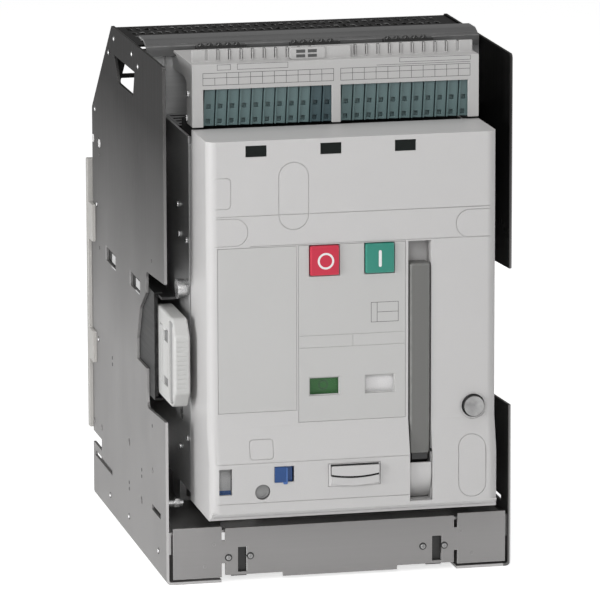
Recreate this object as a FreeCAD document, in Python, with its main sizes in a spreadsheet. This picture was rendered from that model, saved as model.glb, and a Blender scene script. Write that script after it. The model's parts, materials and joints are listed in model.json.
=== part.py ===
import FreeCAD, Part
import math
import os
import Sketcher
from FreeCAD import Rotation, Vector

# Draw-out low-voltage air switch-disconnector, three poles, in its cradle.
# Millimetres, +X to the right of the operator, +Y to the rear, +Z up.
# The origin is the centre of the four floor holes, on the underside of the feet.

# Driving sizes: name, value, what it measures
SIZES = (
    # Cradle sheet metal
    ("rail_room", 28.1, "from the switch to the outer face of a side plate"),
    ("steel", 2.5, "thickness of the cradle sheet"),
    ("half_depth", 175.5, "front edge of a side plate from the middle"),
    ("plate_height", 463, "top edge of a side plate"),
    ("apex_y", 64.5, "where the top edge of a side plate starts to fall"),
    ("slope_rise", 42, "where the falling edge meets the rear edge, above the moulding"),
    ("upper_rear_y", 166.5, "rear edge of a side plate above the upper jog"),
    ("jog_y", 154.5, "depth of the two upper jogs in the rear edge"),
    ("jog_one_low", 246, "upper jog, lower edge"),
    ("jog_one_high", 281.5, "upper jog, upper edge"),
    ("jog_two_low", 131, "middle jog, lower edge"),
    ("jog_two_high", 161, "middle jog, upper edge"),
    ("jog_three_y", 134, "depth of the low jog"),
    ("jog_three_low", 51.5, "low jog, lower edge"),
    ("jog_three_high", 62, "low jog, upper edge"),
    ("slit_front_y", 80.5, "front end of the long low slot"),
    ("slit_rear_y", 168, "rear end of the long low slot"),
    ("slit_low", 40, "long low slot, lower edge"),
    ("slit_high", 45, "long low slot, upper edge"),
    ("notch_low", 147.5, "front notch, lower edge"),
    ("notch_high", 271, "front notch, upper edge"),
    ("notch_y", -90.5, "depth of the front notch"),
    ("notch_fall", 4.5, "how far the notch edges fall towards the rear"),
    ("recess_y", -45.5, "depth of the recess behind the notch"),
    ("recess_mid_y", -62, "middle of the slanted recess edge"),
    ("recess_low", 178, "recess, lower edge"),
    ("recess_knee", 196, "recess, end of its upright edge"),
    ("recess_mid_z", 228, "middle of the slanted recess edge"),
    ("recess_high", 247, "recess, top of its slanted edge"),
    ("window_fall", 47.5, "side window, lower edge below the plate's top"),
    ("window_tall", 22.5, "height of the side window"),
    ("window_front_low", -37.5, "side window, front end of its lower edge"),
    ("window_front_high", -45.5, "side window, front end of its upper edge"),
    ("window_rear_low", 32, "side window, rear end of its lower edge"),
    ("window_rear_high", 53, "side window, rear end of its upper edge"),
    ("vent_length", 45.5, "length of a side slot"),
    ("vent_high", 12.6, "height of a side slot"),
    ("vent_low", 239.5, "lower edge of the side slots"),
    ("vent_rear_y", 55, "front end of the rear side slot"),
    ("vent_front_y", -62.8, "front end of the front side slot"),
    ("key_slot_y", -150.5, "front end of the low front slot"),
    ("key_slot_length", 41.5, "length of the low front slot"),
    ("key_slot_low", 54, "low front slot, lower edge"),
    ("key_slot_high", 59, "low front slot, upper edge"),
    ("eyelet_y", 162, "rear eyelet"),
    ("eyelet_gap", 30, "spacing of the two rear eyelets"),
    ("eyelet_fall", 34, "lower edge of the eyelets below the falling edge"),
    ("eyelet_tall", 10, "height of an eyelet"),
    ("eyelet_wide", 4.4, "width of an eyelet"),
    ("foot_wide", 49.6, "width of a foot"),
    ("bend", 2, "inside radius of a bend"),
    ("foot_hole_inset", 24.6, "floor hole from the outer face of a side plate"),
    ("foot_hole_y", 130, "floor hole from mid depth"),
    ("foot_hole_radius", 4.5, "radius of a floor hole"),
    ("plate_corner", 4, "rounding of the plate corners"),
    ("notch_corner", 8, "rounding inside the notch"),
    # Floor, front and top of the cradle
    ("floor_top", 47.2, "top face of the floor plate"),
    ("floor_front_y", -173, "front edge of the floor plate"),
    ("floor_rear_y", 150, "rear edge of the floor plate"),
    ("floor_skirt", 20, "depth of the floor plate's side skirts"),
    ("floor_window_front", -110, "front edge of the two floor windows"),
    ("floor_window_rear", 60, "rear edge of the two floor windows"),
    ("floor_window_inner", 12, "inner edge of a floor window"),
    ("floor_window_outer", 50, "outer edge of a floor window"),
    ("ear_inset", 5.6, "outer end of a front ear from the face of its side plate"),
    ("ear_low", 5.2, "lower edge of the front ears"),
    ("ear_high", 51.5, "upper edge of the front ears"),
    ("cross_inset", 52.6, "end of the front plate's middle part from the side plate's face"),
    ("cross_low", 6.9, "lower edge of the middle part"),
    ("relief_wide", 3.2, "width of a relief notch"),
    ("relief_deep", 11, "depth of a relief notch"),
    ("tab_half", 52, "half width of the low tab"),
    ("tab_low", 3.2, "lower edge of the low tab"),
    ("cross_lip", 20, "depth of the front plate's top lip"),
    ("cross_slot_inset", 15.7, "upright slot from the end of the middle part"),
    ("cross_slot_wide", 8.6, "width of the upright slot"),
    ("cross_slot_low", 9.5, "lower end of the upright slot"),
    ("cross_slot_high", 32, "upper end of the upright slot"),
    ("bar_inset", 5.1, "end of the top bar from the face of a side plate"),
    ("bar_rise", 7, "top face of the top bar above the side plates"),
    ("bar_front_y", -62.5, "front of the top bar's upper face"),
    ("bar_rear_y", -40, "rear edge of the top bar"),
    ("bar_nose_y", -76, "front of the top bar's nose"),
    ("bar_nose_fall", 5, "top of the bar's nose below the bar's top"),
    ("bar_tall", 14, "height of the top bar"),
    ("bar_steel", 2, "thickness of the top bar's sheet"),
    ("bar_ear_tall", 16, "how far the top bar's end ears hang below it"),
    ("skirt_tall", 53, "height of the terminal carrier"),
    ("skirt_steel", 1.5, "thickness of the terminal carrier"),
    ("skirt_slit_inset", 25.5, "slit in the terminal carrier from the end of the bar"),
    ("skirt_slit_wide", 3, "width of that slit"),
    ("carrier_tab_y", -155, "front end of the carrier's two tabs"),
    ("lid_fall", 1.5, "top face of the perforated cover below the plate's top"),
    ("lid_steel", 1.5, "thickness of the perforated cover"),
    ("lid_side", 14, "depth of the cover's side flanges"),
    ("lid_slot_wide", 12, "width of a slot in the cover"),
    ("lid_slot_long", 11, "length of a slot in the cover"),
    ("lid_slot_pitch", 24, "spacing of the slots across the cover"),
    ("lid_row_pitch", 16.2, "spacing of the rows of slots"),
    ("lid_margin", 9, "plain edge around the slots"),
    ("screen_wall", 2.4, "upright thickness of the rear screen"),
    ("screen_window", 24, "width of a window in the rear screen"),
    ("screen_pitch", 35.5, "spacing of the windows in the rear screen"),
    ("comb_half", 22.7, "half length of a vent comb"),
    ("comb_base_tall", 3.5, "height of a vent comb below its teeth"),
    ("comb_deep", 7, "how far a vent comb stands forward"),
    ("comb_tooth_pitch", 6.6, "spacing of the comb teeth"),
    ("comb_tooth_foot", 5.2, "width of a comb tooth at its foot"),
    ("comb_tooth_tip", 2.6, "width of a comb tooth at its tip"),
    ("comb_tooth_tall", 2.6, "height of a comb tooth"),
    # Rear moulding and its terminals
    ("base_over", 5.5, "how far the rear moulding is wider than the switch, each side"),
    ("wing_over", 3.4, "how far a wing of the moulding stands past its side plate"),
    ("base_front_y", 99, "front rim of the terminal chambers"),
    ("base_wall_y", 160, "front face of the moulding's rear wall"),
    ("base_rear_y", 195.5, "rear face of the moulding"),
    ("wing_rear_y", 184, "rear face of the wings"),
    ("base_low", 65, "underside of the moulding"),
    ("base_high", 330, "top of the moulding"),
    ("wing_low", 65, "underside of the wings"),
    ("wing_high", 321, "top of the wings"),
    ("pole_side", 1, "side wall left outside three equal poles"),
    ("upper_z", 270, "height of the upper terminals"),
    ("lower_z", 140, "height of the lower terminals"),
    ("chamber_half", 36, "half width of a terminal chamber"),
    ("chamber_rise", 33, "half height of a terminal chamber"),
    ("blade_half", 25, "half width of a terminal blade"),
    ("copper", 12, "thickness of the copper bars"),
    ("blade_tip_y", 104, "front tip of a terminal blade"),
    ("pad_half", 30, "half width of an outside terminal pad"),
    ("pad_length", 45, "length of an outside terminal pad"),
    ("pad_copper", 15, "thickness of an outside terminal pad"),
    ("pad_hole_x", 15, "terminal hole from the middle of its pad"),
    ("pad_hole_end", 20, "terminal hole from the end of its pad"),
    ("pad_hole_radius", 6.5, "radius of a terminal hole"),
    ("fit", 0.3, "running clearance between pieces"),
    # Shutters
    ("shutter_front_y", 92, "front face of the shutters"),
    ("shutter_steel", 2.2, "thickness of a shutter"),
    ("shutter_over", 1.5, "how far a shutter is wider than the switch, each side"),
    ("shutter_tall", 48, "height of a shutter"),
    ("shutter_clear", 11, "clearance from a jaw to its open shutter"),
    ("guide_lip", 8, "width of a shutter guide"),
    ("guide_low", 60, "lower end of a shutter guide"),
    ("guide_high", 350, "upper end of a shutter guide"),
    # Rails
    ("rail_low", 156, "underside of a rail"),
    ("rail_high", 250, "running face of a rail"),
    ("rail_wall", 2.3, "thickness of a rail"),
    ("rail_flange", 16.3, "width of a rail's running flange"),
    ("rail_front_y", -172, "front end of the left rail"),
    ("rail_draw", 49, "how far the left rail is drawn out at rest"),
    ("rail_rear_y", 147, "rear end of a rail that is pushed in"),
    ("guide_wall", 1.5, "thickness of a rail guide"),
    ("guide_hook", 7.5, "width of a rail guide's flanges"),
    ("guide_front_y", -115, "front end of a rail guide"),
    ("grip_low", 160, "underside of a grip"),
    ("grip_high", 240, "top of a grip"),
    ("grip_wide", 14.5, "width of a grip"),
    ("grip_rear_y", -106, "rear end of the left grip"),
    ("grip_nose_y", -184.5, "front of the left grip's bulge"),
    ("grip_slot_long", 12, "length of a slot in a grip"),
    ("grip_slot_tall", 50, "height of a slot in a grip"),
    # Racking
    ("screw_x", -82.6, "racking screw from the middle"),
    ("screw_z", 95.3, "height of the racking screw"),
    ("screw_radius", 8, "radius of the racking screw's thread"),
    ("journal_radius", 5.5, "radius of the racking screw's journals"),
    ("screw_front_y", -205, "front end of the racking screw"),
    ("bearing_front_y", -135, "front face of the front bearing"),
    ("bearing_thick", 16, "thickness of a screw bearing"),
    ("bearing_back_y", 30, "front face of the rear bearing"),
    ("bearing_half", 15, "half width of a screw bearing"),
    ("bearing_top", 110, "top of a screw bearing"),
    ("drive_socket", 3.2, "half width of the crank socket"),
    ("carriage_front_y", -60, "front face of the carriage"),
    ("carriage_deep", 34, "depth of the carriage"),
    ("carriage_inset", 7.5, "end of the carriage from the side of the switch"),
    ("carriage_plate", 4, "thickness of the carriage plate"),
    ("hook_wide", 6, "thickness of a carriage hook"),
    ("hook_top", 99, "top of a carriage hook"),
    ("hook_pin_y", -47, "drive pin of the switch"),
    ("hook_pin_z", 86, "height of the drive pin"),
    ("hook_pin_radius", 5, "radius of the drive pin"),
    # Terminal block on top
    ("block_front_y", -165.5, "front face of the terminal block"),
    ("block_tall", 55.5, "height of the terminal block"),
    ("block_fall", 2.5, "top face of the terminal block below the bar's nose"),
    ("block_wall", 2.4, "wall of the terminal block"),
    ("cheek_rear_y", -93, "rear of the cheek's slanted edge"),
    ("cheek_knee_y", -140, "foot of the cheek's slanted edge"),
    ("cheek_fall", 19.5, "that foot below the block's top"),
    ("strip_fall", 22.5, "upper edge of the windows below the block's top"),
    ("strip_inner", 4, "inner edge of a window from the middle"),
    ("strip_margin", 9.8, "outer edge of a window from the side of the block"),
    ("strip_deep", 26, "depth of the terminal strips"),
    ("strip_count", 11, "columns of terminals in a strip"),
    ("strip_gap", 0.8, "groove beside a column of terminals"),
    ("strip_edge", 6, "width of a column's raised face"),
    ("strip_set_back", 3, "how far the strips lie behind the face"),
    ("fin_y", -151.5, "front face of the wiring comb"),
    ("fin_tall", 10.5, "height of the wiring comb"),
    ("fin_wall", 3, "thickness of the wiring comb"),
    ("fin_pitch", 10.3, "spacing of the comb's teeth"),
    ("fin_gap", 2.4, "slot between two teeth"),
    ("fin_block_half", 15, "half width of the comb's middle block"),
    # Front cover
    ("cover_over", 0.5, "how far the front cover is wider than the switch, each side"),
    ("face_y", -229.9, "front face of the cover"),
    ("bulge_y", -237.5, "front face of the cover's lower bulge"),
    ("cover_gap", 2, "gap between the front cover and the terminal block"),
    ("cover_low", 70, "underside of the front cover"),
    ("bulge_high", 152, "where the bulge starts"),
    ("bulge_full", 121, "where the bulge is full"),
    ("cover_rear_high", -163, "rear edge of the cover at its top"),
    ("cover_rear_low", -149, "rear edge of the cover at its foot"),
    ("cover_wall", 3.2, "wall of the front cover"),
    ("cover_round", 9, "rounding of the cover's upright edges"),
    ("post_inset", 20, "lower posts nearer the middle than the upper ones"),
    ("panel_gap", 0.3, "joint around an inset panel"),
    ("panel_wall", 3, "thickness of the inset panels"),
    ("clip_wide", 8, "width of a panel's clip"),
    ("blank_inset", 8.9, "blank panel from the side of the cover"),
    ("blank_right", -50.6, "blank panel, right edge"),
    ("blank_low", 165.5, "blank panel, lower edge"),
    ("panel_high", 311, "top edge of the inset panels"),
    ("centre_left", -48.6, "centre panel, left edge"),
    ("centre_right", 46.6, "centre panel, right edge"),
    ("centre_low", 154.5, "centre panel, lower edge"),
    ("button_z", 297.4, "middle height of the two buttons"),
    ("off_x", -25.6, "middle of the off button"),
    ("on_x", 23.6, "middle of the on button"),
    ("button_half", 12.9, "half width of a button"),
    ("button_tall", 13.2, "half height of a button"),
    ("button_proud", 2.6, "how far a button stands proud"),
    ("button_stem", 4, "radius of a button's stem"),
    ("flag_z", 185.3, "middle height of the two indicators"),
    ("flag_half", 12.8, "half width of an indicator window"),
    ("flag_tall", 7.2, "half height of an indicator window"),
    ("lens_wall", 1.2, "thickness of a lens"),
    ("port_x", -85.7, "middle of the first small window"),
    ("port_pitch", 66.2, "spacing of the small windows"),
    ("port_half", 9.4, "half width of a small window"),
    ("port_fall", 9.2, "middle of the small windows below the cover's top"),
    ("port_tall", 5, "half height of a small window"),
    ("channel_left", 49.3, "lever channel, left edge"),
    ("channel_right", 69.9, "lever channel, right edge"),
    ("channel_low", 80, "lever channel, lower end"),
    ("channel_high", 311, "lever channel, upper end"),
    ("channel_deep", 20, "depth of the lever channel"),
    ("knob_inset", 21, "release button from the side of the cover"),
    ("knob_z", 161.5, "height of the release button"),
    ("knob_radius", 9.8, "radius of the release button"),
    ("knob_proud", 5, "how far the release button stands proud"),
    ("knob_bezel", 12, "radius of the release button's recess"),
    ("position_inset", 7.6, "position window from the side of the cover"),
    ("position_wide", 11.6, "width of the position window"),
    ("position_low", 94, "position window, lower edge"),
    ("position_high", 117.3, "position window, upper edge"),
    ("position_travel", 18, "travel of the position flag"),
    ("crank_radius", 6.9, "radius of the crank hole"),
    ("slider_left", -72.3, "release slider, left edge"),
    ("slider_right", -54.5, "release slider, right edge"),
    ("slider_low", 103.2, "release slider, lower edge"),
    ("slider_high", 117.5, "release slider, upper edge"),
    ("slider_travel", 7, "travel of the release slider"),
    ("hasp_left", -24, "padlock hasp, left edge"),
    ("hasp_right", 22.6, "padlock hasp, right edge"),
    ("hasp_low", 97, "padlock hasp, lower edge"),
    ("hasp_high", 117.6, "padlock hasp, upper edge"),
    ("hasp_travel", 12, "travel of the padlock hasp"),
    # Charging lever
    ("lever_left", 50.6, "lever, left side"),
    ("lever_right", 68.6, "lever, right side"),
    ("lever_top", 291, "top of the lever"),
    ("lever_foot", 121, "foot of the lever's grip"),
    ("lever_front_y", -231.5, "front face of the lever"),
    ("lever_back_y", -214.5, "back face of the lever"),
    ("pivot_y", -203, "lever pivot"),
    ("pivot_z", 106, "height of the lever pivot"),
    ("pivot_radius", 5, "radius of the lever pivot pin"),
    ("hub_radius", 11, "radius of the lever hub"),
    # Switch body
    ("frame_half", 128.5, "outer face of the switch's side frames"),
    ("frame_steel", 2.5, "thickness of the switch's frames"),
    ("frame_front_y", -145, "front edge of the switch's side frames"),
    ("frame_rear_y", 62, "rear edge of the switch's side frames"),
    ("frame_low", 76, "lower edge of the switch's side frames"),
    ("frame_fall", 9, "top edge of the switch's side frames below the cover's top"),
    ("frame_slope_z", 330, "where the frames' falling rear edge ends"),
    ("frame_slope_y", -10, "where the frames' rear edge starts to fall"),
    ("deck_fall", 15, "top edge of the front deck below the cover's top"),
    ("roller_z_radius", 9, "radius of a roller"),
    ("roller_front_y", -139, "front roller"),
    ("roller_rear_y", 32, "rear roller"),
    ("roller_wide", 10, "width of a roller"),
    ("case_front_y", -86, "front face of the pole case"),
    ("case_split_y", -12, "joint between the two halves of the pole case"),
    ("case_rear_y", 60, "rear face of the pole case"),
    ("case_low", 116, "underside of the pole case"),
    ("case_high", 318, "top of the pole case"),
    ("case_wall", 8, "front wall of the pole case"),
    ("case_floor", 6, "floor of the pole case"),
    ("case_back", 12, "rear wall of the pole case"),
    ("pole_half", 34, "half width of a pole chamber"),
    ("link_port_low", 166, "link opening, lower edge"),
    ("link_port_high", 204, "link opening, upper edge"),
    ("link_port_half", 15, "half width of a link opening"),
    ("chute_low", 286, "lower end of an arc chute"),
    ("chute_fall", 17, "top of an arc chute below the cover's top"),
    ("chute_front_y", -44, "front face of an arc chute"),
    ("chute_rear_y", 46, "rear face of an arc chute"),
    ("chute_half", 33, "half width of an arc chute"),
    ("chute_flange", 4, "ledge of an arc chute"),
    ("chute_slot", 5, "width of a slot in an arc chute"),
    ("chute_pitch", 14, "spacing of the slots in an arc chute"),
    ("arm_y", -4, "middle plane of the contact arms"),
    ("arm_thick", 12, "thickness of a contact arm"),
    ("arm_half", 19.5, "half width of a contact arm"),
    ("arm_top", 278, "top of a contact arm"),
    ("arm_boss", 10, "half width of a contact arm's foot"),
    ("arm_swing", 2.4, "clearance for the corners of a turning foot"),
    ("arm_pin_radius", 5, "radius of a contact arm's pin"),
    ("tip_thick", 3, "thickness of a contact tip"),
    ("tip_tall", 16, "height of a contact tip"),
    ("tip_half", 17, "half width of a contact tip"),
    ("contact_gap", 0.3, "clearance between the closed contacts"),
    ("lug_wide", 4.7, "thickness of a conductor lug"),
    ("jaw_rear_y", 140, "rear end of a jaw finger"),
    ("jaw_front_y", 63, "front end of a jaw finger"),
    ("finger_tall", 10, "height of a jaw finger"),
    ("finger_wide", 13, "width of a jaw finger"),
    ("finger_pitch", 16.5, "spacing of the jaw fingers"),
    ("finger_count", 3, "fingers on each side of a blade"),
    ("finger_lead", 5, "lead-in chamfer of a jaw finger"),
    ("cage_y", 100, "front face of a jaw cage"),
    ("cage_deep", 8, "depth of a jaw cage"),
    ("cage_wall", 2, "wall of a jaw cage"),
    ("conductor_rear_y", 80, "rear end of a conductor inside its jaw"),
    # Pole shaft and drive
    ("shaft_y", -108, "pole shaft"),
    ("shaft_radius", 10, "radius of the pole shaft"),
    ("shaft_journal", 7, "radius of the pole shaft's journals"),
    ("crank", 45, "throw of the pole shaft's cranks"),
    ("open_angle", 20, "how far the open contact arms lean forward, in degrees"),
    ("crank_plate", 5, "thickness of a crank plate"),
    ("crank_boss", 8, "radius of a crank's end"),
    ("link_pin_radius", 4, "radius of a link pin"),
    ("link_half", 8, "half width of a link rod"),
    ("link_rise", 7, "half height of a link rod"),
    ("fork_wall", 4, "thickness of a link's fork"),
    ("fork_back", 20, "link's cross piece ahead of its pin"),
    ("mech_left", 44, "left mechanism plate, outer face"),
    ("mech_right", 75.2, "right mechanism plate, outer face"),
    ("mech_plate", 2.6, "thickness of a mechanism plate"),
    ("cam_y", -168, "charging shaft"),
    ("cam_z", 215, "height of the charging shaft"),
    ("cam_shaft_radius", 7, "radius of the charging shaft"),
    ("ratchet_radius", 26, "radius of the ratchet wheel"),
    ("ratchet_wide", 8, "width of the ratchet wheel"),
    ("ratchet_teeth", 16, "teeth of the ratchet wheel"),
    ("ratchet_tooth", 3.5, "depth of a ratchet tooth"),
    ("cam_base_radius", 14, "base radius of the cam"),
    ("cam_wide", 9, "width of the cam"),
    ("cam_lobe", 10, "offset of the cam's lobe"),
    ("spring_radius", 13, "outer radius of the closing spring"),
    ("spring_room", 24.8, "closing spring from the right mechanism plate"),
    ("spring_y", -168, "closing spring"),
    ("spring_low", 190, "lower end of the closing spring"),
    ("spring_high", 300, "upper end of the closing spring"),
    ("spring_rod", 4, "half width of the spring's guide bar"),
)


class Size:
    """A length: its value, and the sheet expression that gives it."""

    def __init__(self, value, text):
        self.value = value
        self.text = text

    def combined(self, other, sign, value):
        return Size(value, f"({self.text} {sign} {other.text})")

    def __add__(self, other):
        other = as_size(other)
        return self.combined(other, "+", self.value + other.value)

    def __sub__(self, other):
        other = as_size(other)
        return self.combined(other, "-", self.value - other.value)

    def __mul__(self, other):
        other = as_size(other)
        return self.combined(other, "*", self.value * other.value)

    def __truediv__(self, other):
        other = as_size(other)
        return self.combined(other, "/", self.value / other.value)

    def __neg__(self):
        return Size(-self.value, f"(0 - {self.text})")

    __radd__ = __add__
    __rmul__ = __mul__

    def __rsub__(self, other):
        return as_size(other) - self


def as_size(number):
    return number if isinstance(number, Size) else Size(float(number), f"({number})")


class SizeSheet:
    """The driving sizes as attributes, each written to one cell of the sheet."""

    def __init__(self, document, rows):
        sheet = document.addObject("Spreadsheet::Sheet", "Sizes")
        for row, (name, value, meaning) in enumerate(rows, start=1):
            sheet.set(f"A{row}", meaning)
            sheet.set(f"B{row}", str(value))
            sheet.setAlias(f"B{row}", name)
            setattr(self, name, Size(float(value), f"Sizes.{name}"))


doc = FreeCAD.newDocument("draw_out_switch")
S = SizeSheet(doc, SIZES)
doc.recompute()
pieces = {}

# Widths that follow the switch's side frames
S.plate_half = S.frame_half + S.rail_room
S.foot_inner = S.plate_half - S.foot_wide
S.foot_hole_x = S.plate_half - S.foot_hole_inset
S.ear_half = S.plate_half - S.ear_inset
S.cross_half = S.plate_half - S.cross_inset
S.cross_slot_x = S.cross_half - S.cross_slot_inset
S.bar_half = S.plate_half - S.bar_inset
S.skirt_slit_x = S.bar_half - S.skirt_slit_inset
S.base_half = S.frame_half + S.base_over
S.wing_half = S.plate_half + S.wing_over
S.pole_pitch = (S.frame_half - S.pole_side) * 2 / 3
S.shutter_half = S.frame_half + S.shutter_over
S.guide_half = S.base_half
S.guide_lip_half = S.guide_half - S.guide_lip
S.carriage_half = S.frame_half - S.carriage_inset
S.block_half = S.frame_half
S.strip_outer = S.block_half - S.strip_margin
S.cover_half = S.frame_half + S.cover_over
S.blank_left = S.blank_inset - S.cover_half
S.knob_x = S.cover_half - S.knob_inset
S.position_left = S.position_inset - S.cover_half
S.position_right = S.position_left + S.position_wide
S.spring_x = S.mech_right + S.spring_room

# Heights that follow the side plates and the rear moulding
S.window_low = S.plate_height - S.window_fall
S.window_high = S.window_low + S.window_tall
S.slope_end_z = S.base_high + S.slope_rise
S.eyelet_low = S.slope_end_z - S.eyelet_fall
S.bar_top = S.plate_height + S.bar_rise
S.bar_nose_z = S.bar_top - S.bar_nose_fall
S.bar_low = S.bar_top - S.bar_tall
S.bar_ear_low = S.bar_low - S.bar_ear_tall
S.skirt_low = S.bar_low - S.skirt_tall
S.lid_top = S.plate_height - S.lid_fall
S.screen_window_tall = (S.lid_top - S.slope_end_z) / 3
S.comb_base_low = S.bar_nose_z - S.comb_base_tall
S.comb_tooth_top = S.bar_nose_z + S.comb_tooth_tall
S.block_top = S.bar_nose_z - S.block_fall
S.block_low = S.block_top - S.block_tall
S.cheek_knee_z = S.block_top - S.cheek_fall
S.strip_high = S.block_top - S.strip_fall
S.fin_top = S.block_top + S.fin_tall
S.cover_high = S.block_low - S.cover_gap
S.port_z = S.cover_high - S.port_fall
S.frame_high = S.cover_high - S.frame_fall
S.mech_high = S.cover_high - S.deck_fall
S.chute_high = S.cover_high - S.chute_fall

TURN = {"x": Rotation(Vector(0, 1, 0), 90), "y": Rotation(Vector(1, 0, 0), -90), "z": Rotation()}
EPSILON = 0.01
HEXAGON = 6


def sine(angle):
    return Size(math.sin(math.radians(angle.value)), f"sin({angle.text})")


def cosine(angle):
    return Size(math.cos(math.radians(angle.value)), f"cos({angle.text})")


# Helpers for spans, primitives and booleans

def both(half):
    return -as_size(half), as_size(half)


def about(middle, half):
    return middle - half, middle + half


def upto(start, length):
    return start, start + length


def in_order(first, second):
    """Two places with the lower one first."""
    return (first, second) if first.value < second.value else (second, first)


def bind(item, **sizes):
    for prop, size in sizes.items():
        item.setExpression(prop, as_size(size).text)


def seat(item, x, y, z):
    for axis, place in zip("xyz", (x, y, z)):
        item.setExpression(f"Placement.Base.{axis}", as_size(place).text)


def block(name, x, y, z):
    """A box between two places along each axis."""
    item = doc.addObject("Part::Box", name)
    bind(item, Length=x[1] - x[0], Width=y[1] - y[0], Height=z[1] - z[0])
    seat(item, x[0], y[0], z[0])
    return item


def rod(name, axis, along, centre, radius):
    """A cylinder along one axis; centre holds its place on the other two."""
    item = doc.addObject("Part::Cylinder", name)
    bind(item, Radius=radius, Height=along[1] - along[0])
    item.Placement = FreeCAD.Placement(Vector(), TURN[axis])
    place = list(centre)
    place.insert("xyz".index(axis), along[0])
    seat(item, *place)
    return item


def join(name, parts):
    item = doc.addObject("Part::MultiFuse", name)
    item.Shapes = parts
    item.Refine = True
    return item


def cut(name, base, tools):
    item = doc.addObject("Part::Cut", name)
    item.Base = base
    item.Tool = tools[0] if len(tools) == 1 else join(name + "_tools", tools)
    item.Refine = True
    return item


def tilt(item, centre, angle):
    """Turns an item about an axis along X through one place (y, z)."""
    y, z = centre
    item.Placement = FreeCAD.Placement(Vector(), Rotation(Vector(1, 0, 0), angle.value))
    item.setExpression("Placement.Rotation.Angle", angle.text)
    seat(item, 0, y - y * cosine(angle) + z * sine(angle), z - y * sine(angle) - z * cosine(angle))
    return item


def hexagon(centre, radius):
    """Corners of a hexagon round one place (y, z)."""
    y, z = centre
    turns = [2 * math.pi * step / HEXAGON for step in range(HEXAGON)]
    return [(y + radius * math.sin(turn), z + radius * math.cos(turn)) for turn in turns]


def group(name, parts):
    """Several separate solids that share one node."""
    item = doc.addObject("Part::Compound", name)
    item.Links = parts
    return item


def piece(name, item):
    item.Label = name
    pieces[name] = item
    return item


# Helpers for bodies made from sketched outlines

def origin_plane(body, name):
    return next(item for item in body.Origin.OriginFeatures if item.Role == name + "_Plane")


def pin_point(sketch, rules, bound, geometry, corner, u, v):
    for kind, size, axis in (("DistanceX", u, -2), ("DistanceY", v, -1)):
        if size.text == "(0)":
            rules.append(Sketcher.Constraint("PointOnObject", geometry, corner, axis))
        else:
            bound.append((len(rules), size.text))
            rules.append(Sketcher.Constraint(kind, -1, 1, geometry, corner, size.value))


def outline(body, name, plane, level, loops, circles=()):
    """A sketch of closed outlines, its corners bound to the sheet."""
    sketch = body.newObject("Sketcher::SketchObject", name)
    sketch.AttachmentSupport = [(origin_plane(body, plane), "")]
    sketch.MapMode = "FlatFace"
    sketch.setExpression("AttachmentOffset.Base.z", level.text)
    rules = []
    bound = []
    for points in loops:
        points = [(as_size(u), as_size(v)) for u, v in points]
        corners = [Vector(u.value, v.value, 0) for u, v in points]
        first = sketch.GeometryCount
        edges = [Part.LineSegment(a, b) for a, b in zip(corners, corners[1:] + corners[:1])]
        sketch.addGeometry(edges, False)
        for number, (u, v) in enumerate(points):
            after = first + (number + 1) % len(points)
            rules.append(Sketcher.Constraint("Coincident", first + number, 2, after, 1))
            pin_point(sketch, rules, bound, first + number, 1, u, v)
    for u, v, radius in circles:
        u, v, radius = as_size(u), as_size(v), as_size(radius)
        number = sketch.addGeometry(Part.Circle(Vector(u.value, v.value, 0), Vector(0, 0, 1),
                                                radius.value), False)
        pin_point(sketch, rules, bound, number, 3, u, v)
        bound.append((len(rules), radius.text))
        rules.append(Sketcher.Constraint("Radius", number, radius.value))
    sketch.addConstraint(rules)
    for index, text in bound:
        sketch.setExpression(f"Constraints[{index}]", text)
    return sketch


def slab(name, plane, span, loops, circles=()):
    """A body padded from one outline, across a span along the plane's axis."""
    body = doc.addObject("PartDesign::Body", name)
    level = -as_size(span[1]) if plane == "XZ" else as_size(span[0])
    sketch = outline(body, name + "_outline", plane, level, loops, circles)
    pad = body.newObject("PartDesign::Pad", name + "_pad")
    pad.Profile = sketch
    pad.setExpression("Length", (span[1] - span[0]).text)
    doc.recompute()
    return body


def carve(body, name, plane, span, loops, circles=()):
    """Cuts outlines out of a body across a span, and sees that they cut."""
    before = body.Shape.Volume
    level = -as_size(span[0]) if plane == "XZ" else as_size(span[1])
    sketch = outline(body, name + "_outline", plane, level, loops, circles)
    pocket = body.newObject("PartDesign::Pocket", name)
    pocket.Profile = sketch
    pocket.setExpression("Length", (span[1] - span[0]).text)
    doc.recompute()
    if body.Shape.Volume > before - EPSILON:
        raise RuntimeError(f"{name} cuts nothing")
    return pocket


def round_edges(body, name, radius, chosen):
    """Rounds the edges of a body that the test picks."""
    tip = body.Tip
    edges = [f"Edge{n}" for n, edge in enumerate(tip.Shape.Edges, start=1) if chosen(edge)]
    if not edges:
        raise RuntimeError(f"{name} finds no edge")
    fillet = body.newObject("PartDesign::Fillet", name)
    fillet.Base = (tip, edges)
    fillet.setExpression("Radius", radius.text)
    doc.recompute()
    return fillet


def repeat(body, name, feature, plane_axis, length, count):
    """Repeats one feature in a row along an axis of its sketch."""
    row = body.newObject("PartDesign::LinearPattern", name)
    row.Originals = [feature]
    row.Direction = (feature.Profile[0], [plane_axis])
    row.setExpression("Length", length.text)
    row.Occurrences = count
    body.Tip = row
    doc.recompute()
    return row


def runs_along(edge, axis):
    """True for a straight edge along one axis."""
    if len(edge.Vertexes) != 2:
        return False
    step = edge.Vertexes[1].Point - edge.Vertexes[0].Point
    others = [abs(part) for name, part in zip("xyz", step) if name != axis]
    return step.Length > EPSILON and max(others) < EPSILON


def edge_at(edge, **places):
    """True where the edge's middle lies at the places that are named."""
    middle = edge.CenterOfMass
    return all(abs(getattr(middle, axis) - size.value) < EPSILON for axis, size in places.items())


def box_loop(u, v):
    return [(u[0], v[0]), (u[1], v[0]), (u[1], v[1]), (u[0], v[1])]


# Places that several pieces share

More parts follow.
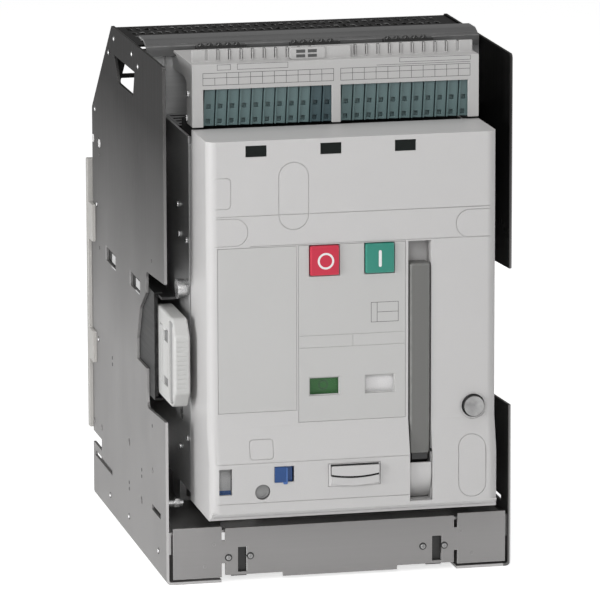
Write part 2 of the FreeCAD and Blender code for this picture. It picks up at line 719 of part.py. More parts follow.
front = -S.half_depth
rear = S.half_depth
inner = S.plate_half - S.steel
floor_under = S.floor_top - S.steel
poles = (("left", -S.pole_pitch), ("middle", as_size(0)), ("right", S.pole_pitch))
screw_line = (S.screw_x, S.screw_z)


# Cradle side plates: one folded sheet each, foot and upright

def side_plate(name, side):
    outer_x = side * S.plate_half
    inner_x = side * inner
    body = slab(name, "XZ", both(S.half_depth), [[
        (outer_x, as_size(0)), (side * S.foot_inner, as_size(0)), (side * S.foot_inner, S.steel),
        (inner_x, S.steel), (inner_x, S.plate_height), (outer_x, S.plate_height)]])
    round_edges(body, name + "_outer_bend", S.bend + S.steel,
                lambda e: runs_along(e, "y") and edge_at(e, x=outer_x, z=as_size(0)))
    round_edges(body, name + "_inner_bend", S.bend,
                lambda e: runs_along(e, "y") and edge_at(e, x=inner_x, z=S.steel))
    over = S.plate_height + 1
    past = rear + 1
    before = front - 1
    slope = [(S.apex_y, S.plate_height), (S.apex_y, over), (past, over), (past, S.jog_one_low),
             (S.jog_y, S.jog_one_low), (S.jog_y, S.jog_one_high),
             (S.upper_rear_y, S.jog_one_high), (S.upper_rear_y, S.slope_end_z)]
    middle_jog = box_loop((S.jog_y, past), (S.jog_two_low, S.jog_two_high))
    low_jog = box_loop((S.jog_three_y, past), (S.jog_three_low, S.jog_three_high))
    notch = [(before, S.notch_low), (S.notch_y, S.notch_low - S.notch_fall),
             (S.notch_y, S.recess_low), (S.recess_y, S.recess_low), (S.recess_y, S.recess_knee),
             (S.recess_mid_y, S.recess_mid_z), (S.notch_y, S.recess_high),
             (S.notch_y, S.notch_high - S.notch_fall), (before, S.notch_high)]
    window = [(S.window_front_low, S.window_low), (S.window_rear_low, S.window_low),
              (S.window_rear_high, S.window_high), (S.window_front_high, S.window_high)]
    openings = [box_loop((S.slit_front_y, S.slit_rear_y), (S.slit_low, S.slit_high)),
                box_loop(upto(S.key_slot_y, S.key_slot_length), (S.key_slot_low, S.key_slot_high)),
                window]
    for start in (S.vent_rear_y, S.vent_front_y):
        openings.append(box_loop(upto(start, S.vent_length), upto(S.vent_low, S.vent_high)))
    for step in (0, 1):
        start = S.eyelet_y - S.eyelet_gap * step
        openings.append(box_loop(upto(start, S.eyelet_wide), upto(S.eyelet_low, S.eyelet_tall)))
    across = (inner_x, outer_x) if side > 0 else (outer_x, inner_x)
    carve(body, name + "_edge", "YZ", across, [slope, middle_jog, low_jog, notch])
    carve(body, name + "_openings", "YZ", across, openings)
    round_edges(body, name + "_corners", S.plate_corner,
                lambda e: runs_along(e, "x") and (
                    edge_at(e, y=front, z=S.plate_height) or edge_at(e, y=S.apex_y, z=S.plate_height)
                    or edge_at(e, y=S.upper_rear_y, z=S.slope_end_z)))
    round_edges(body, name + "_notch_corners", S.notch_corner,
                lambda e: runs_along(e, "x") and (
                    edge_at(e, y=S.notch_y, z=S.notch_high - S.notch_fall)
                    or edge_at(e, y=S.recess_mid_y, z=S.recess_mid_z)
                    or edge_at(e, y=S.notch_y, z=S.notch_low - S.notch_fall)))
    holes = [(side * S.foot_hole_x, at_y, S.foot_hole_radius) for at_y in both(S.foot_hole_y)]
    carve(body, name + "_floor_holes", "XY", (as_size(0), S.steel), [], holes)
    piece(name, body)


side_plate("left_side_plate", -1)
side_plate("right_side_plate", 1)


# Floor plate with skirts along the side plates

def floor_plate():
    skirt_low = S.floor_top - S.floor_skirt
    body = slab("floor_plate", "XZ", (S.floor_front_y, S.floor_rear_y), [[
        (-inner, skirt_low), (-inner, S.floor_top), (inner, S.floor_top), (inner, skirt_low),
        (inner - S.steel, skirt_low), (inner - S.steel, floor_under),
        (-(inner - S.steel), floor_under), (-(inner - S.steel), skirt_low)]])
    windows = [box_loop((side * S.floor_window_inner, side * S.floor_window_outer),
                        (S.floor_window_front, S.floor_window_rear)) for side in (-1, 1)]
    carve(body, "floor_windows", "XY", (floor_under, S.floor_top), windows)
    piece("floor_plate", body)


# Front cross plate: relief notches, ears, slots and a lip bent to the rear

def front_cross_plate():
    face = (front - S.steel, front)
    relief_in = S.cross_half
    relief_out = S.cross_half + S.relief_wide
    lip_top = S.floor_top + S.steel
    right = [(S.tab_half, S.tab_low), (S.tab_half, S.cross_low), (relief_in, S.cross_low),
             (relief_in, S.cross_low + S.relief_deep), (relief_out, S.cross_low + S.relief_deep),
             (relief_out, S.ear_low), (S.ear_half, S.ear_low), (S.ear_half, S.ear_high),
             (relief_out, S.ear_high), (relief_out, lip_top - S.relief_deep),
             (relief_in, lip_top - S.relief_deep), (relief_in, lip_top)]
    left = [(-x, z) for x, z in reversed(right)]
    body = slab("front_cross_plate", "XZ", face, [right + left])
    slots = [box_loop(about(side * S.cross_slot_x, S.cross_slot_wide / 2),
                      (S.cross_slot_low, S.cross_slot_high)) for side in (-1, 1)]
    carve(body, "front_cross_slots", "XZ", face, slots)
    lip = block("front_cross_lip", both(relief_in), (front, front + S.cross_lip),
                (S.floor_top, lip_top))
    piece("front_cross_plate", join("front_cross_fold", [body, lip]))


# Top bar: a slanted nose over a folded sheet, with ears against the side plates

def top_cross_bar():
    t = S.bar_steel
    body = slab("top_bar_profile", "YZ", both(S.bar_half), [[
        (S.bar_nose_y, S.bar_low), (S.bar_nose_y, S.bar_nose_z), (S.bar_front_y, S.bar_top),
        (S.bar_rear_y, S.bar_top), (S.bar_rear_y, S.bar_top - t),
        (S.bar_front_y + t / 2, S.bar_top - t), (S.bar_nose_y + t, S.bar_nose_z - t),
        (S.bar_nose_y + t, S.bar_low + t), (S.bar_rear_y, S.bar_low + t), (S.bar_rear_y, S.bar_low)]])
    ears = []
    for side in (-1, 1):
        x = in_order(side * (S.bar_half - S.steel), side * inner)
        ears.append(block("top_bar_ear", x, (S.bar_front_y, S.bar_rear_y),
                          (S.bar_ear_low, S.bar_low + t)))
    piece("top_cross_bar", join("top_bar_fold", [body] + ears))


# Terminal carrier: the upright sheet that hangs from the top bar

def terminal_carrier():
    sheet = (S.bar_front_y, S.bar_front_y + S.skirt_steel)
    body = slab("terminal_carrier", "XZ", sheet, [box_loop(both(S.bar_half - S.steel - S.fit),
                                                           (S.skirt_low, S.bar_low))])
    slits = [box_loop(about(side * S.skirt_slit_x, S.skirt_slit_wide / 2),
                      (S.skirt_low - 1, S.bar_ear_low)) for side in (-1, 1)]
    carve(body, "terminal_carrier_slits", "XZ", sheet, slits)
    tabs = []
    for side in (-1, 1):
        outer = S.block_half - S.block_wall
        x = in_order(side * (outer - S.skirt_steel), side * outer)
        tabs.append(block("carrier_tab", x, (S.carrier_tab_y, S.bar_front_y),
                          (S.cheek_knee_z + S.skirt_steel, S.bar_low)))
    piece("terminal_carrier", join("terminal_carrier_fold", [body] + tabs))


# Perforated cover: rows of slots made once and repeated

def top_perforated_cover():
    t = S.lid_steel
    under = S.lid_top - t
    low = S.lid_top - S.lid_side
    start_y = S.bar_rear_y + S.fit
    body = slab("top_perforated_cover", "XZ", (start_y, S.apex_y), [[
        (-inner, low), (-inner, S.lid_top), (inner, S.lid_top), (inner, low),
        (inner - t, low), (inner - t, under), (-(inner - t), under), (-(inner - t), low)]])
    first_x = -(inner - t - S.lid_margin)
    columns = int(2 * -first_x.value // S.lid_slot_pitch.value)
    rows = int((S.apex_y - start_y - S.lid_margin).value // S.lid_row_pitch.value)
    last = None
    for row in range(rows):
        shift = S.lid_slot_pitch / 2 * (row % 2)
        x = upto(first_x + shift, S.lid_slot_wide)
        y = upto(start_y + S.lid_margin / 2 + S.lid_row_pitch * row, S.lid_slot_long)
        slot = carve(body, f"cover_slot_{row}", "XY", (under, S.lid_top), [box_loop(x, y)])
        last = repeat(body, f"cover_row_{row}", slot, "H_Axis",
                      S.lid_slot_pitch * (columns - 1), columns)
    body.Tip = last
    piece("top_perforated_cover", body)


# Rear screen: falls from the cover to the rear edge, with two rows of windows

def rear_screen():
    t = S.screen_wall
    body = slab("rear_screen", "YZ", both(inner), [[
        (S.apex_y, S.lid_top - S.lid_steel), (S.apex_y, S.lid_top - S.lid_steel - t),
        (S.upper_rear_y - t, S.slope_end_z - t), (S.upper_rear_y - t, S.base_high),
        (S.upper_rear_y, S.base_high), (S.upper_rear_y, S.slope_end_z)]])
    columns = int((2 * inner - S.screen_pitch + S.screen_window).value // S.screen_pitch.value)
    left = -S.screen_pitch * ((columns - 1) / 2) - S.screen_window / 2
    first = carve(body, "screen_window", "XZ", (S.apex_y, S.upper_rear_y - 2 * t),
                  [box_loop(upto(left, S.screen_window),
                            upto(S.slope_end_z + t, S.screen_window_tall)),
                   box_loop(upto(left, S.screen_window),
                            upto(S.slope_end_z + 3 * t + S.screen_window_tall,
                                 S.screen_window_tall))])
    repeat(body, "screen_windows", first, "H_Axis", S.screen_pitch * (columns - 1), columns)
    piece("rear_screen", body)


# Vent combs on the nose of the top bar

def vent_combs():
    combs = []
    count = int((2 * S.comb_half).value // S.comb_tooth_pitch.value)
    foot, tip = S.comb_tooth_foot / 2, S.comb_tooth_tip / 2
    for pole, x in poles:
        right, left = x + S.comb_half, x - S.comb_half
        ridge = [(left, S.comb_base_low), (right, S.comb_base_low), (right, S.bar_nose_z)]
        for number in reversed(range(count)):
            middle = x + S.comb_tooth_pitch * (number - (count - 1) / 2)
            ridge += [(middle + foot, S.bar_nose_z), (middle + tip, S.comb_tooth_top),
                      (middle - tip, S.comb_tooth_top), (middle - foot, S.bar_nose_z)]
        ridge.append((left, S.bar_nose_z))
        combs.append(slab(f"{pole}_comb", "XZ", (S.bar_nose_y - S.comb_deep, S.bar_nose_y),
                          [ridge]))
    piece("vent_combs", group("vent_comb_set", combs))


# Rear moulding: six open chambers, a rear wall and wings behind the side plates

def rear_base_moulding():
    body = slab("rear_base_block", "YZ", both(S.base_half), [box_loop(
        (S.base_front_y, S.base_rear_y), (S.base_low, S.base_high))])
    chambers = []
    bores = []
    for _, x in poles:
        for z in (S.lower_z, S.upper_z):
            chambers.append(box_loop(about(x, S.chamber_half), about(z, S.chamber_rise)))
            bores.append(box_loop(about(x, S.blade_half), about(z, S.copper / 2)))
    carve(body, "terminal_chambers", "XZ", (S.base_front_y, S.base_wall_y), chambers)
    carve(body, "terminal_bores", "XZ", (S.base_wall_y, S.base_rear_y), bores)
    solids = [body]
    for side in (-1, 1):
        x = in_order(side * S.base_half, side * S.wing_half)
        solids.append(block("moulding_wing", x, (rear, S.wing_rear_y), (S.wing_low, S.wing_high)))
        for low, high in ((S.jog_one_low, S.jog_one_high), (S.jog_two_low, S.jog_two_high)):
            solids.append(block("moulding_lug", x, (S.jog_y, S.wing_rear_y),
                                (low + S.fit, high - S.fit)))
    piece("rear_base_moulding", join("rear_base_join", solids))


# Terminals: a blade inside the chamber and a drilled pad outside, one per pole

def terminals(name, z):
    bars = []
    for pole, x in poles:
        blade = block(f"{name}_{pole}_blade", about(x, S.blade_half),
                      (S.blade_tip_y, S.base_rear_y), about(z, S.copper / 2))
        pad = block(f"{name}_{pole}_pad", about(x, S.pad_half), upto(S.base_rear_y, S.pad_length),
                    about(z, S.pad_copper / 2))
        hole_y = S.base_rear_y + S.pad_length - S.pad_hole_end
        holes = [rod(f"{name}_{pole}_hole", "z", about(z, S.pad_copper), (hole_x, hole_y),
                     S.pad_hole_radius) for hole_x in about(x, S.pad_hole_x)]
        bars.append(cut(f"{name}_{pole}", join(f"{name}_{pole}_bar", [blade, pad]), holes))
    piece(name, group(name + "_set", bars))


floor_plate()
front_cross_plate()
top_cross_bar()
terminal_carrier()
top_perforated_cover()
rear_screen()
vent_combs()
rear_base_moulding()
terminals("upper_terminals", S.upper_z)
terminals("lower_terminals", S.lower_z)


# Shutters and the two channels that they slide in

def shutter(name, low):
    piece(name, block(name + "_sheet", both(S.shutter_half),
                      upto(S.shutter_front_y, S.shutter_steel), upto(low, S.shutter_tall)))


def shutter_guides():
    channels = []
    for side in (-1, 1):
        lip = side * S.guide_lip_half
        groove = side * (S.shutter_half + S.fit)
        outer = side * S.guide_half
        front_y = S.shutter_front_y - S.fit
        back_y = S.shutter_front_y + S.shutter_steel + S.fit
        channels.append(slab("shutter_guide", "XY", (S.guide_low, S.guide_high), [[
            (lip, front_y - S.steel), (outer, front_y - S.steel), (outer, S.base_front_y),
            (lip, S.base_front_y), (lip, back_y), (groove, back_y), (groove, front_y),
            (lip, front_y)]]))
    piece("shutter_guides", group("shutter_guide_pair", channels))


jaw_rise = S.copper / 2 + S.fit + S.finger_tall + S.cage_wall
shutter("upper_shutter", S.upper_z + jaw_rise + S.shutter_clear)
shutter("lower_shutter", S.lower_z - jaw_rise - S.shutter_clear - S.shutter_tall)
shutter_guides()


# Rails that slide forward, their grips, and the guides on the side plates.
# The left rail stands drawn out a little, and the right one is pushed in.

rail_outer = inner - S.guide_wall - S.fit
rail_inner = rail_outer - S.rail_flange


def rail(name, side, draw):
    web = side * (rail_outer - S.rail_wall)
    piece(name, slab(name, "XZ", (S.rail_front_y + S.rail_draw - draw, S.rail_rear_y - draw), [[
        (side * rail_outer, S.rail_low), (side * rail_outer, S.rail_high),
        (side * rail_inner, S.rail_high), (side * rail_inner, S.rail_high - S.rail_wall),
        (web, S.rail_high - S.rail_wall), (web, S.rail_low)]]))


def rail_guides():
    pair = []
    low = S.rail_low - S.fit
    high = S.rail_high + S.fit
    for side in (-1, 1):
        wall = side * (inner - S.guide_wall)
        hook = side * (inner - S.guide_hook)
        outer = side * inner
        pair.append(slab("rail_guide", "XZ", (S.guide_front_y, S.rail_rear_y), [[
            (outer, low - S.guide_wall), (outer, high + S.guide_wall),
            (hook, high + S.guide_wall), (hook, high), (wall, high), (wall, low), (hook, low),
            (hook, low - S.guide_wall)]]))
    piece("rail_guides", group("rail_guide_pair", pair))


def grip(name, side, draw):
    inset = S.rail_draw - draw
    rear_y, nose_y, root_y = S.grip_rear_y + inset, S.grip_nose_y + inset, S.rail_front_y + inset
    inward = side * (rail_outer - S.rail_wall - S.grip_wide)
    outward = side * (rail_outer - S.rail_wall)
    across = (inward, outward) if side > 0 else (outward, inward)
    middle = (S.grip_low + S.grip_high) / 2
    body = slab(name, "YZ", across, [[
        (root_y, S.grip_low), (rear_y, S.grip_low), (rear_y, S.grip_high),
        (root_y, S.grip_high), (nose_y, middle + S.grip_slot_tall / 2),
        (nose_y, middle - S.grip_slot_tall / 2)]])
    slots = []
    for number in range(2):
        start = rear_y - S.grip_slot_long * (2 * number + 2)
        slots.append(box_loop(upto(start, S.grip_slot_long),
                              about(middle, S.grip_slot_tall / 2)))
    carve(body, name + "_slots", "YZ", across, slots)
    round_edges(body, name + "_rounding", S.notch_corner, lambda e: runs_along(e, "x") and (
        edge_at(e, y=nose_y, z=middle + S.grip_slot_tall / 2)
        or edge_at(e, y=nose_y, z=middle - S.grip_slot_tall / 2)
        or edge_at(e, y=root_y, z=S.grip_high)
        or edge_at(e, y=root_y, z=S.grip_low)))
    piece(name, body)


for side_name, side_sign, drawn in (("left", -1, S.rail_draw), ("right", 1, as_size(0))):
    rail(f"{side_name}_rail", side_sign, drawn)
    grip(f"{side_name}_grip", side_sign, drawn)
rail_guides()


# Racking: a screw held in two bearings drives the carriage

def screw_bearings():
    stands = []
    for name, y in (("front", S.bearing_front_y), ("rear", S.bearing_back_y)):
        span = upto(y, S.bearing_thick)
        stand = block(f"{name}_bearing_block", about(S.screw_x, S.bearing_half), span,
                      (S.floor_top, S.bearing_top))
        bore = rod(f"{name}_bearing_bore", "y", span, screw_line, S.journal_radius + S.fit)
        stands.append(cut(f"{name}_bearing", stand, [bore]))
    piece("screw_bearings", group("screw_bearing_pair", stands))


def racking_screw():
    thread = (S.bearing_front_y + S.bearing_thick + S.fit, S.bearing_back_y - S.fit)
    journal = (S.screw_front_y, S.bearing_back_y + S.bearing_thick)
    core = rod("screw_core", "y", journal, screw_line, S.journal_radius)
    body = rod("screw_thread", "y", thread, screw_line, S.screw_radius)
    socket = block("screw_socket", about(S.screw_x, S.drive_socket),
                   upto(S.screw_front_y, S.bearing_thick), about(S.screw_z, S.drive_socket))
    piece("racking_screw", cut("screw_turned", join("screw_blank", [core, body]), [socket]))


def racking_carriage():
    span = upto(S.carriage_front_y, S.carriage_deep)
    low = S.floor_top + S.fit
    plate = block("carriage_plate_blank", both(S.carriage_half), span, upto(low, S.carriage_plate))
    nut = block("carriage_nut", about(S.screw_x, S.bearing_half), span, (low, S.bearing_top))
    hooks = []
    for side in (-1, 1):
        x = in_order(side * (S.carriage_half - S.hook_wide), side * S.carriage_half)
        hook = block("carriage_hook_blank", x, span, (low, S.hook_top))
        reach = S.hook_pin_radius + S.fit
        mouth = block("carriage_hook_mouth", x, (S.carriage_front_y, S.hook_pin_y + reach),
                      about(S.hook_pin_z, reach))
        hooks.append(cut("carriage_hook", hook, [mouth]))
    bore = rod("carriage_bore", "y", span, screw_line, S.screw_radius + S.fit)
    piece("racking_carriage", cut("carriage_turned", join("carriage_blank", [plate, nut] + hooks),
                                  [bore]))


screw_bearings()
racking_screw()
racking_carriage()


# Terminal block on top: a frame with two windows, cheeks and a wiring comb

def terminal_block_frame():
    t = S.block_wall
    front_y = S.block_front_y
    back_y = S.bar_nose_y - S.comb_deep - S.fit
    body = slab("terminal_block_frame", "YZ", both(S.block_half), [[
        (front_y, S.block_low), (S.cheek_knee_y, S.block_low), (S.cheek_knee_y, S.cheek_knee_z),
        (S.cheek_rear_y, S.block_top - t), (back_y, S.block_top - t), (back_y, S.block_top),
        (front_y, S.block_top)]])
    carve(body, "block_hollow", "YZ", both(S.block_half - t), [[
        (front_y + t, S.block_low - 1), (S.cheek_knee_y + 1, S.block_low - 1),
        (S.cheek_knee_y + 1, S.cheek_knee_z), (S.cheek_rear_y + 1, S.block_top - t),
        (front_y + t, S.block_top - t)]])
    windows = []
    for side in (-1, 1):
        x = in_order(side * S.strip_inner, side * S.strip_outer)
        windows.append(box_loop(x, (S.block_low - 1, S.strip_high)))
    carve(body, "block_windows", "XZ", upto(front_y, t), windows)
    wall = block("comb_wall", both(S.block_half - t), upto(S.fin_y, S.fin_wall),
                 (S.block_top, S.fin_top))
    middle = block("comb_middle", both(S.fin_block_half), upto(S.fin_y - 2 * t, 2 * t),
                   (S.block_top, S.fin_top))
    count = int(((S.block_half - t - S.fin_block_half) / S.fin_pitch).value)
    gaps = []
    for side in (-1, 1):
        for number in range(count):
            x = side * (S.fin_block_half + S.fin_pitch * (number + 0.5))
            gaps.append(block("comb_gap", about(x, S.fin_gap / 2), upto(S.fin_y, S.fin_wall),
                              (S.block_top + S.fin_gap / 2, S.fin_top)))
    comb = cut("wiring_comb", wall, gaps)
    piece("terminal_block_frame", join("terminal_block_join", [body, comb, middle]))


def terminal_strip(name, side):
    t = S.block_wall
    left = S.strip_inner if side > 0 else -S.strip_outer
    front_y = S.block_front_y + S.strip_set_back
    width = S.strip_outer - S.strip_inner
    pitch = width / S.strip_count
    low = S.block_low
    base = block(name + "_base", upto(left, width), (front_y + S.strip_set_back, front_y
                 + S.strip_deep), (low, S.block_top - t))
    columns = []
    for number in range(int(S.strip_count.value)):
        x = left + pitch * number
        columns.append(slab(f"{name}_column", "XY", (low, S.strip_high - t), [[
            (x + S.strip_gap, front_y + S.strip_set_back), (x + S.strip_gap, front_y),
            (x + S.strip_edge, front_y + t / 2),
            (x + pitch - S.strip_gap, front_y + S.strip_set_back)]]))
    piece(name, join(name + "_join", [base] + columns))


terminal_block_frame()
terminal_strip("left_terminal_strip", -1)
terminal_strip("right_terminal_strip", 1)


# Front cover: a moulded shell with its bulge, windows, inset openings and lever channel

post_x = S.cover_half - S.cover_round - S.cover_wall
post_low = S.cover_low + S.cover_round + S.cover_wall
post_high = S.port_z - S.port_pitch / 2
deck_y = S.frame_front_y - S.frame_steel


def front_cover():
    t = S.cover_wall
    shell = slab("front_cover", "YZ", both(S.cover_half), [[
        (S.cover_rear_high, S.cover_high), (S.face_y, S.cover_high), (S.face_y, S.bulge_high),
        (S.bulge_y, S.bulge_full), (S.bulge_y, S.cover_low), (S.cover_rear_low, S.cover_low)]])
    round_edges(shell, "cover_upright_edges", S.cover_round, lambda e: (
        abs(abs(e.CenterOfMass.x) - S.cover_half.value) < EPSILON
        and e.CenterOfMass.y < S.face_y.value + EPSILON
        and max(abs(v.X) for v in e.Vertexes) - min(abs(v.X) for v in e.Vertexes) < EPSILON))
    carve(shell, "cover_hollow", "YZ", both(S.cover_half - t), [[
        (S.cover_rear_high + t, S.cover_high - t), (S.face_y + t, S.cover_high - t),
        (S.face_y + t, S.bulge_high), (S.bulge_y + t, S.bulge_full), (S.bulge_y + t, S.cover_low + t),
        (S.cover_rear_low + t, S.cover_low + t)]])
    g = S.panel_gap
    face = (S.bulge_y - 1, S.face_y + t)
    ports = [box_loop(about(S.port_x + S.port_pitch * n, S.port_half), about(S.port_z, S.port_tall))
             for n in range(3)]
    openings = [box_loop((S.blank_left - g, S.blank_right + g), (S.blank_low - g, S.panel_high + g)),
                box_loop((S.centre_left - g, S.centre_right + g),
                         (S.centre_low - g, S.panel_high + g)),
                box_loop((S.channel_left, S.channel_right), (S.channel_low, S.channel_high)),
                box_loop((S.position_left, S.position_right), (S.position_low, S.position_high)),
                box_loop((S.slider_left, S.slider_right), (S.slider_low, S.slider_high)),
                box_loop((S.hasp_left, S.hasp_right), (S.hasp_low, S.hasp_high))]
    carve(shell, "cover_openings", "XZ", face, ports + openings, [
        (S.screw_x, S.screw_z, S.crank_radius), (S.knob_x, S.knob_z, S.knob_bezel)])
    w = S.panel_wall - 1
    tub_x = (S.channel_left - w, S.channel_right + w)
    tub_y = (S.face_y + t, S.face_y + S.channel_deep)
    tub = block("channel_tub", tub_x, tub_y, (S.lever_foot + t, S.channel_high + w))
    tub_space = block("channel_space", (S.channel_left, S.channel_right),
                      (S.face_y + t, S.face_y + S.channel_deep - w), (S.lever_foot, S.channel_high))
    knob_tube = block("knob_tube", about(S.knob_x, S.knob_bezel + w),
                      (S.face_y + t - 1, S.face_y + S.channel_deep),
                      about(S.knob_z, S.knob_bezel + w))
    knob_space = rod("knob_space", "y", (S.bulge_y, S.face_y + S.channel_deep - w),
                     (S.knob_x, S.knob_z), S.knob_bezel)
    knob_bore = block("knob_bore", about(S.knob_x, S.button_stem / 2 + S.fit),
                      (S.bulge_y, S.face_y + S.channel_deep),
                      about(S.knob_z, S.button_stem / 2 + S.fit))
    posts = []
    for z, wall_y, out in ((post_low, S.bulge_y, post_x - S.post_inset),
                           (post_high, S.face_y, post_x)):
        for x in both(out):
            posts.append(block("cover_post", about(x, S.button_stem), (wall_y + t / 2, deck_y),
                               about(z, S.button_stem)))
    cutter = join("cover_spaces", [tub_space, knob_space, knob_bore])
    blank = join("cover_blank", [shell, tub, knob_tube] + posts)
    piece("front_cover", cut("cover_moulding", blank, [cutter]))


# Inset panels: a blank one, and the centre one with notches for the buttons and two windows

def inset_panel(name, x, z, openings):
    span = upto(S.face_y, S.panel_wall)
    body = slab(name, "XZ", span, [box_loop(x, z)])
    if openings:
        carve(body, name + "_openings", "XZ", span, openings)
    return body


def panels():
    lip = S.panel_wall
    behind_y = S.face_y + S.cover_wall
    for name, x, z in (
            ("blank_panel", (S.blank_left, S.blank_right), (S.blank_low, S.panel_high)),
            ("centre_panel", (S.centre_left, S.centre_right), (S.centre_low, S.panel_high))):
        openings = []
        if name == "centre_panel":
            for middle in (S.off_x, S.on_x):
                openings.append(box_loop(about(middle, S.button_half + S.fit),
                                         (S.button_z - S.button_tall - S.fit, z[1] + S.fit)))
                openings.append(box_loop(about(middle, S.flag_half), about(S.flag_z, S.flag_tall)))
        face = inset_panel(name + "_face", x, z, openings)
        clips = []
        for edge, outward in ((z[0], -1), (z[1], 1)):
            near = in_order(edge, edge - outward * lip / 2)
            wide = in_order(edge + outward * lip, edge - outward * lip / 2)
            for across in (upto(x[0], S.clip_wide), (x[1] - S.clip_wide, x[1])):
                clips.append(block(name + "_clip_root", across, (S.face_y + lip, behind_y), near))
                clips.append(block(name + "_clip", across, upto(behind_y, lip / 2), wide))
        piece(name, join(name + "_join", [face] + clips))


# Buttons: a cap in the panel and a stem that runs to the deck

def button(name, middle):
    cap = block(name + "_cap", about(middle, S.button_half),
                (S.face_y - S.button_proud, S.face_y + S.panel_wall),
                about(S.button_z, S.button_tall))
    stem = block(name + "_stem", about(middle, S.button_stem / 2),
                 (S.face_y + S.panel_wall, deck_y + S.frame_steel),
                 about(S.button_z, S.button_stem / 2))
    piece(name, join(name + "_join", [cap, stem]))


def release_button():
    cap = rod("release_cap", "y", (S.face_y - S.knob_proud, S.face_y + S.panel_wall),
              (S.knob_x, S.knob_z), S.knob_radius)
    stem = block("release_stem", about(S.knob_x, S.button_stem / 2),
                 (S.face_y, deck_y + S.frame_steel), about(S.knob_z, S.button_stem / 2))
    piece("release_button", join("release_join", [cap, stem]))


# Indicators: flags behind lenses, and the position flag beside the crank hole

def lenses():
    solids = []
    for number in range(3):
        solids.append(block("port_lens", about(S.port_x + S.port_pitch * number, S.port_half),
                            (S.face_y + S.lens_wall, S.face_y + S.cover_wall),
                            about(S.port_z, S.port_tall)))
    piece("port_lenses", group("port_lens_set", solids))
    flags = [block("flag_lens", about(x, S.flag_half), upto(S.face_y + S.lens_wall / 2, S.lens_wall),
                   about(S.flag_z, S.flag_tall)) for x in (S.off_x, S.on_x)]
    flags.append(block("position_lens", (S.position_left, S.position_right),
                       upto(S.bulge_y + S.lens_wall / 2, S.lens_wall),
                       (S.position_low, S.position_high)))
    piece("indicator_lenses", group("indicator_lens_set", flags))


flag_y = S.face_y + S.cover_wall + S.panel_wall
flag_drop = 2 * S.flag_tall + S.lens_wall


def indicator_flag(name, middle, back_y):
    plate = block(name + "_plate", about(middle, S.flag_half + 1), upto(flag_y, S.lens_wall),
                  (S.flag_z - S.flag_tall - 1, S.flag_z + S.flag_tall + flag_drop))
    arm = block(name + "_arm", about(middle, S.button_stem), (flag_y, back_y),
                upto(S.flag_z + S.flag_tall + flag_drop - S.lens_wall, S.lens_wall))
    piece(name, join(name + "_join", [plate, arm]))


def position_flag():
    y = S.face_y + S.cover_wall + S.fit
    plate = block("position_plate", (S.position_left - 1, S.position_right + 1),
                  upto(y, S.lens_wall),
                  (S.position_low - 1, S.position_high + S.position_travel + 1))
    arm = block("position_arm", about((S.position_left + S.position_right) / 2, S.lens_wall),
                (y, deck_y), upto(S.position_high + 1, S.button_stem))
    piece("position_flag", join("position_join", [plate, arm]))


# Release slider: a cap in its window and a tail behind the wall that holds it in

def release_slider():
    g = S.fit
    y = S.bulge_y
    cap = block("slider_cap", (S.slider_left + g, S.slider_right - g - S.slider_travel),
                (y - S.lens_wall, y + S.cover_wall + g),
                (S.slider_low + g, S.slider_high - g))
    tail_left = S.screw_x + S.crank_radius + 1
    tail = block("slider_tail", (tail_left, S.slider_right - 1),
                 upto(y + S.cover_wall + g, S.lens_wall),
                 (S.slider_low - 1, S.slider_high + 1))
    reach = block("slider_reach", about(S.slider_left + 3 * g + S.lens_wall, S.lens_wall),
                  (y + S.cover_wall + g, deck_y), upto(S.bearing_top + g, S.button_stem))
    piece("release_slider", join("slider_join", [cap, tail, reach]))


# Padlock hasp: a drawer-like tongue with its shackle slot

def padlock_hasp():
    g = S.fit
    y = S.bulge_y
    middle = (S.hasp_left + S.hasp_right) / 2
    shackle = (S.hasp_high - S.hasp_low) / 6
    body = slab("padlock_hasp", "XY", (S.hasp_low + g, S.hasp_high - g), [[
        (S.hasp_left + g, y), (S.hasp_left + g + S.hasp_travel, y - S.hasp_travel / 3),
        (S.hasp_right - g - S.hasp_travel, y - S.hasp_travel / 3), (S.hasp_right - g, y),
        (S.hasp_right - g, deck_y), (S.hasp_left + g, deck_y)]])
    carve(body, "hasp_slot", "XZ", (y - S.hasp_travel, y + S.hasp_travel), [
        box_loop(about(middle, S.hasp_travel), about((S.hasp_low + S.hasp_high) / 2, shackle))])
    piece("padlock_hasp", body)


front_cover()
panels()
button("off_button", S.off_x)
button("on_button", S.on_x)
release_button()
lenses()
indicator_flag("contact_flag", S.off_x, deck_y)
indicator_flag("spring_flag", S.on_x, deck_y)
position_flag()
release_slider()
padlock_hasp()


# Charging lever: a grip on a neck, with a hub on the pivot pin between two plates

def charging_lever():
    body = slab("lever_grip", "YZ", (S.lever_left, S.lever_right), [[
        (S.lever_front_y, S.lever_foot), (S.lever_back_y, S.lever_foot),
        (S.lever_back_y, S.lever_top), (S.lever_front_y, S.lever_top)]])
    piece("charging_lever", body)


def lever_hub():
    inset = S.panel_wall - 1
    x = (S.lever_left + inset, S.lever_right - inset)
    neck = slab("hub_neck", "YZ", x, [[
        (S.lever_front_y + 1, S.lever_foot), (S.lever_front_y + 1, S.lever_foot - S.pivot_radius),
        (S.pivot_y, S.pivot_z - S.hub_radius), (S.pivot_y, S.pivot_z + S.hub_radius),
        (S.lever_back_y, S.lever_foot)]])
    boss = rod("hub_boss", "x", x, (S.pivot_y, S.pivot_z), S.hub_radius)
    bore = rod("hub_bore", "x", x, (S.pivot_y, S.pivot_z), S.pivot_radius + S.fit)
    piece("lever_hub", cut("hub_turned", join("hub_blank", [neck, boss]), [bore]))


# Mechanism plates with the lever pivot pin, and the charging shaft between them

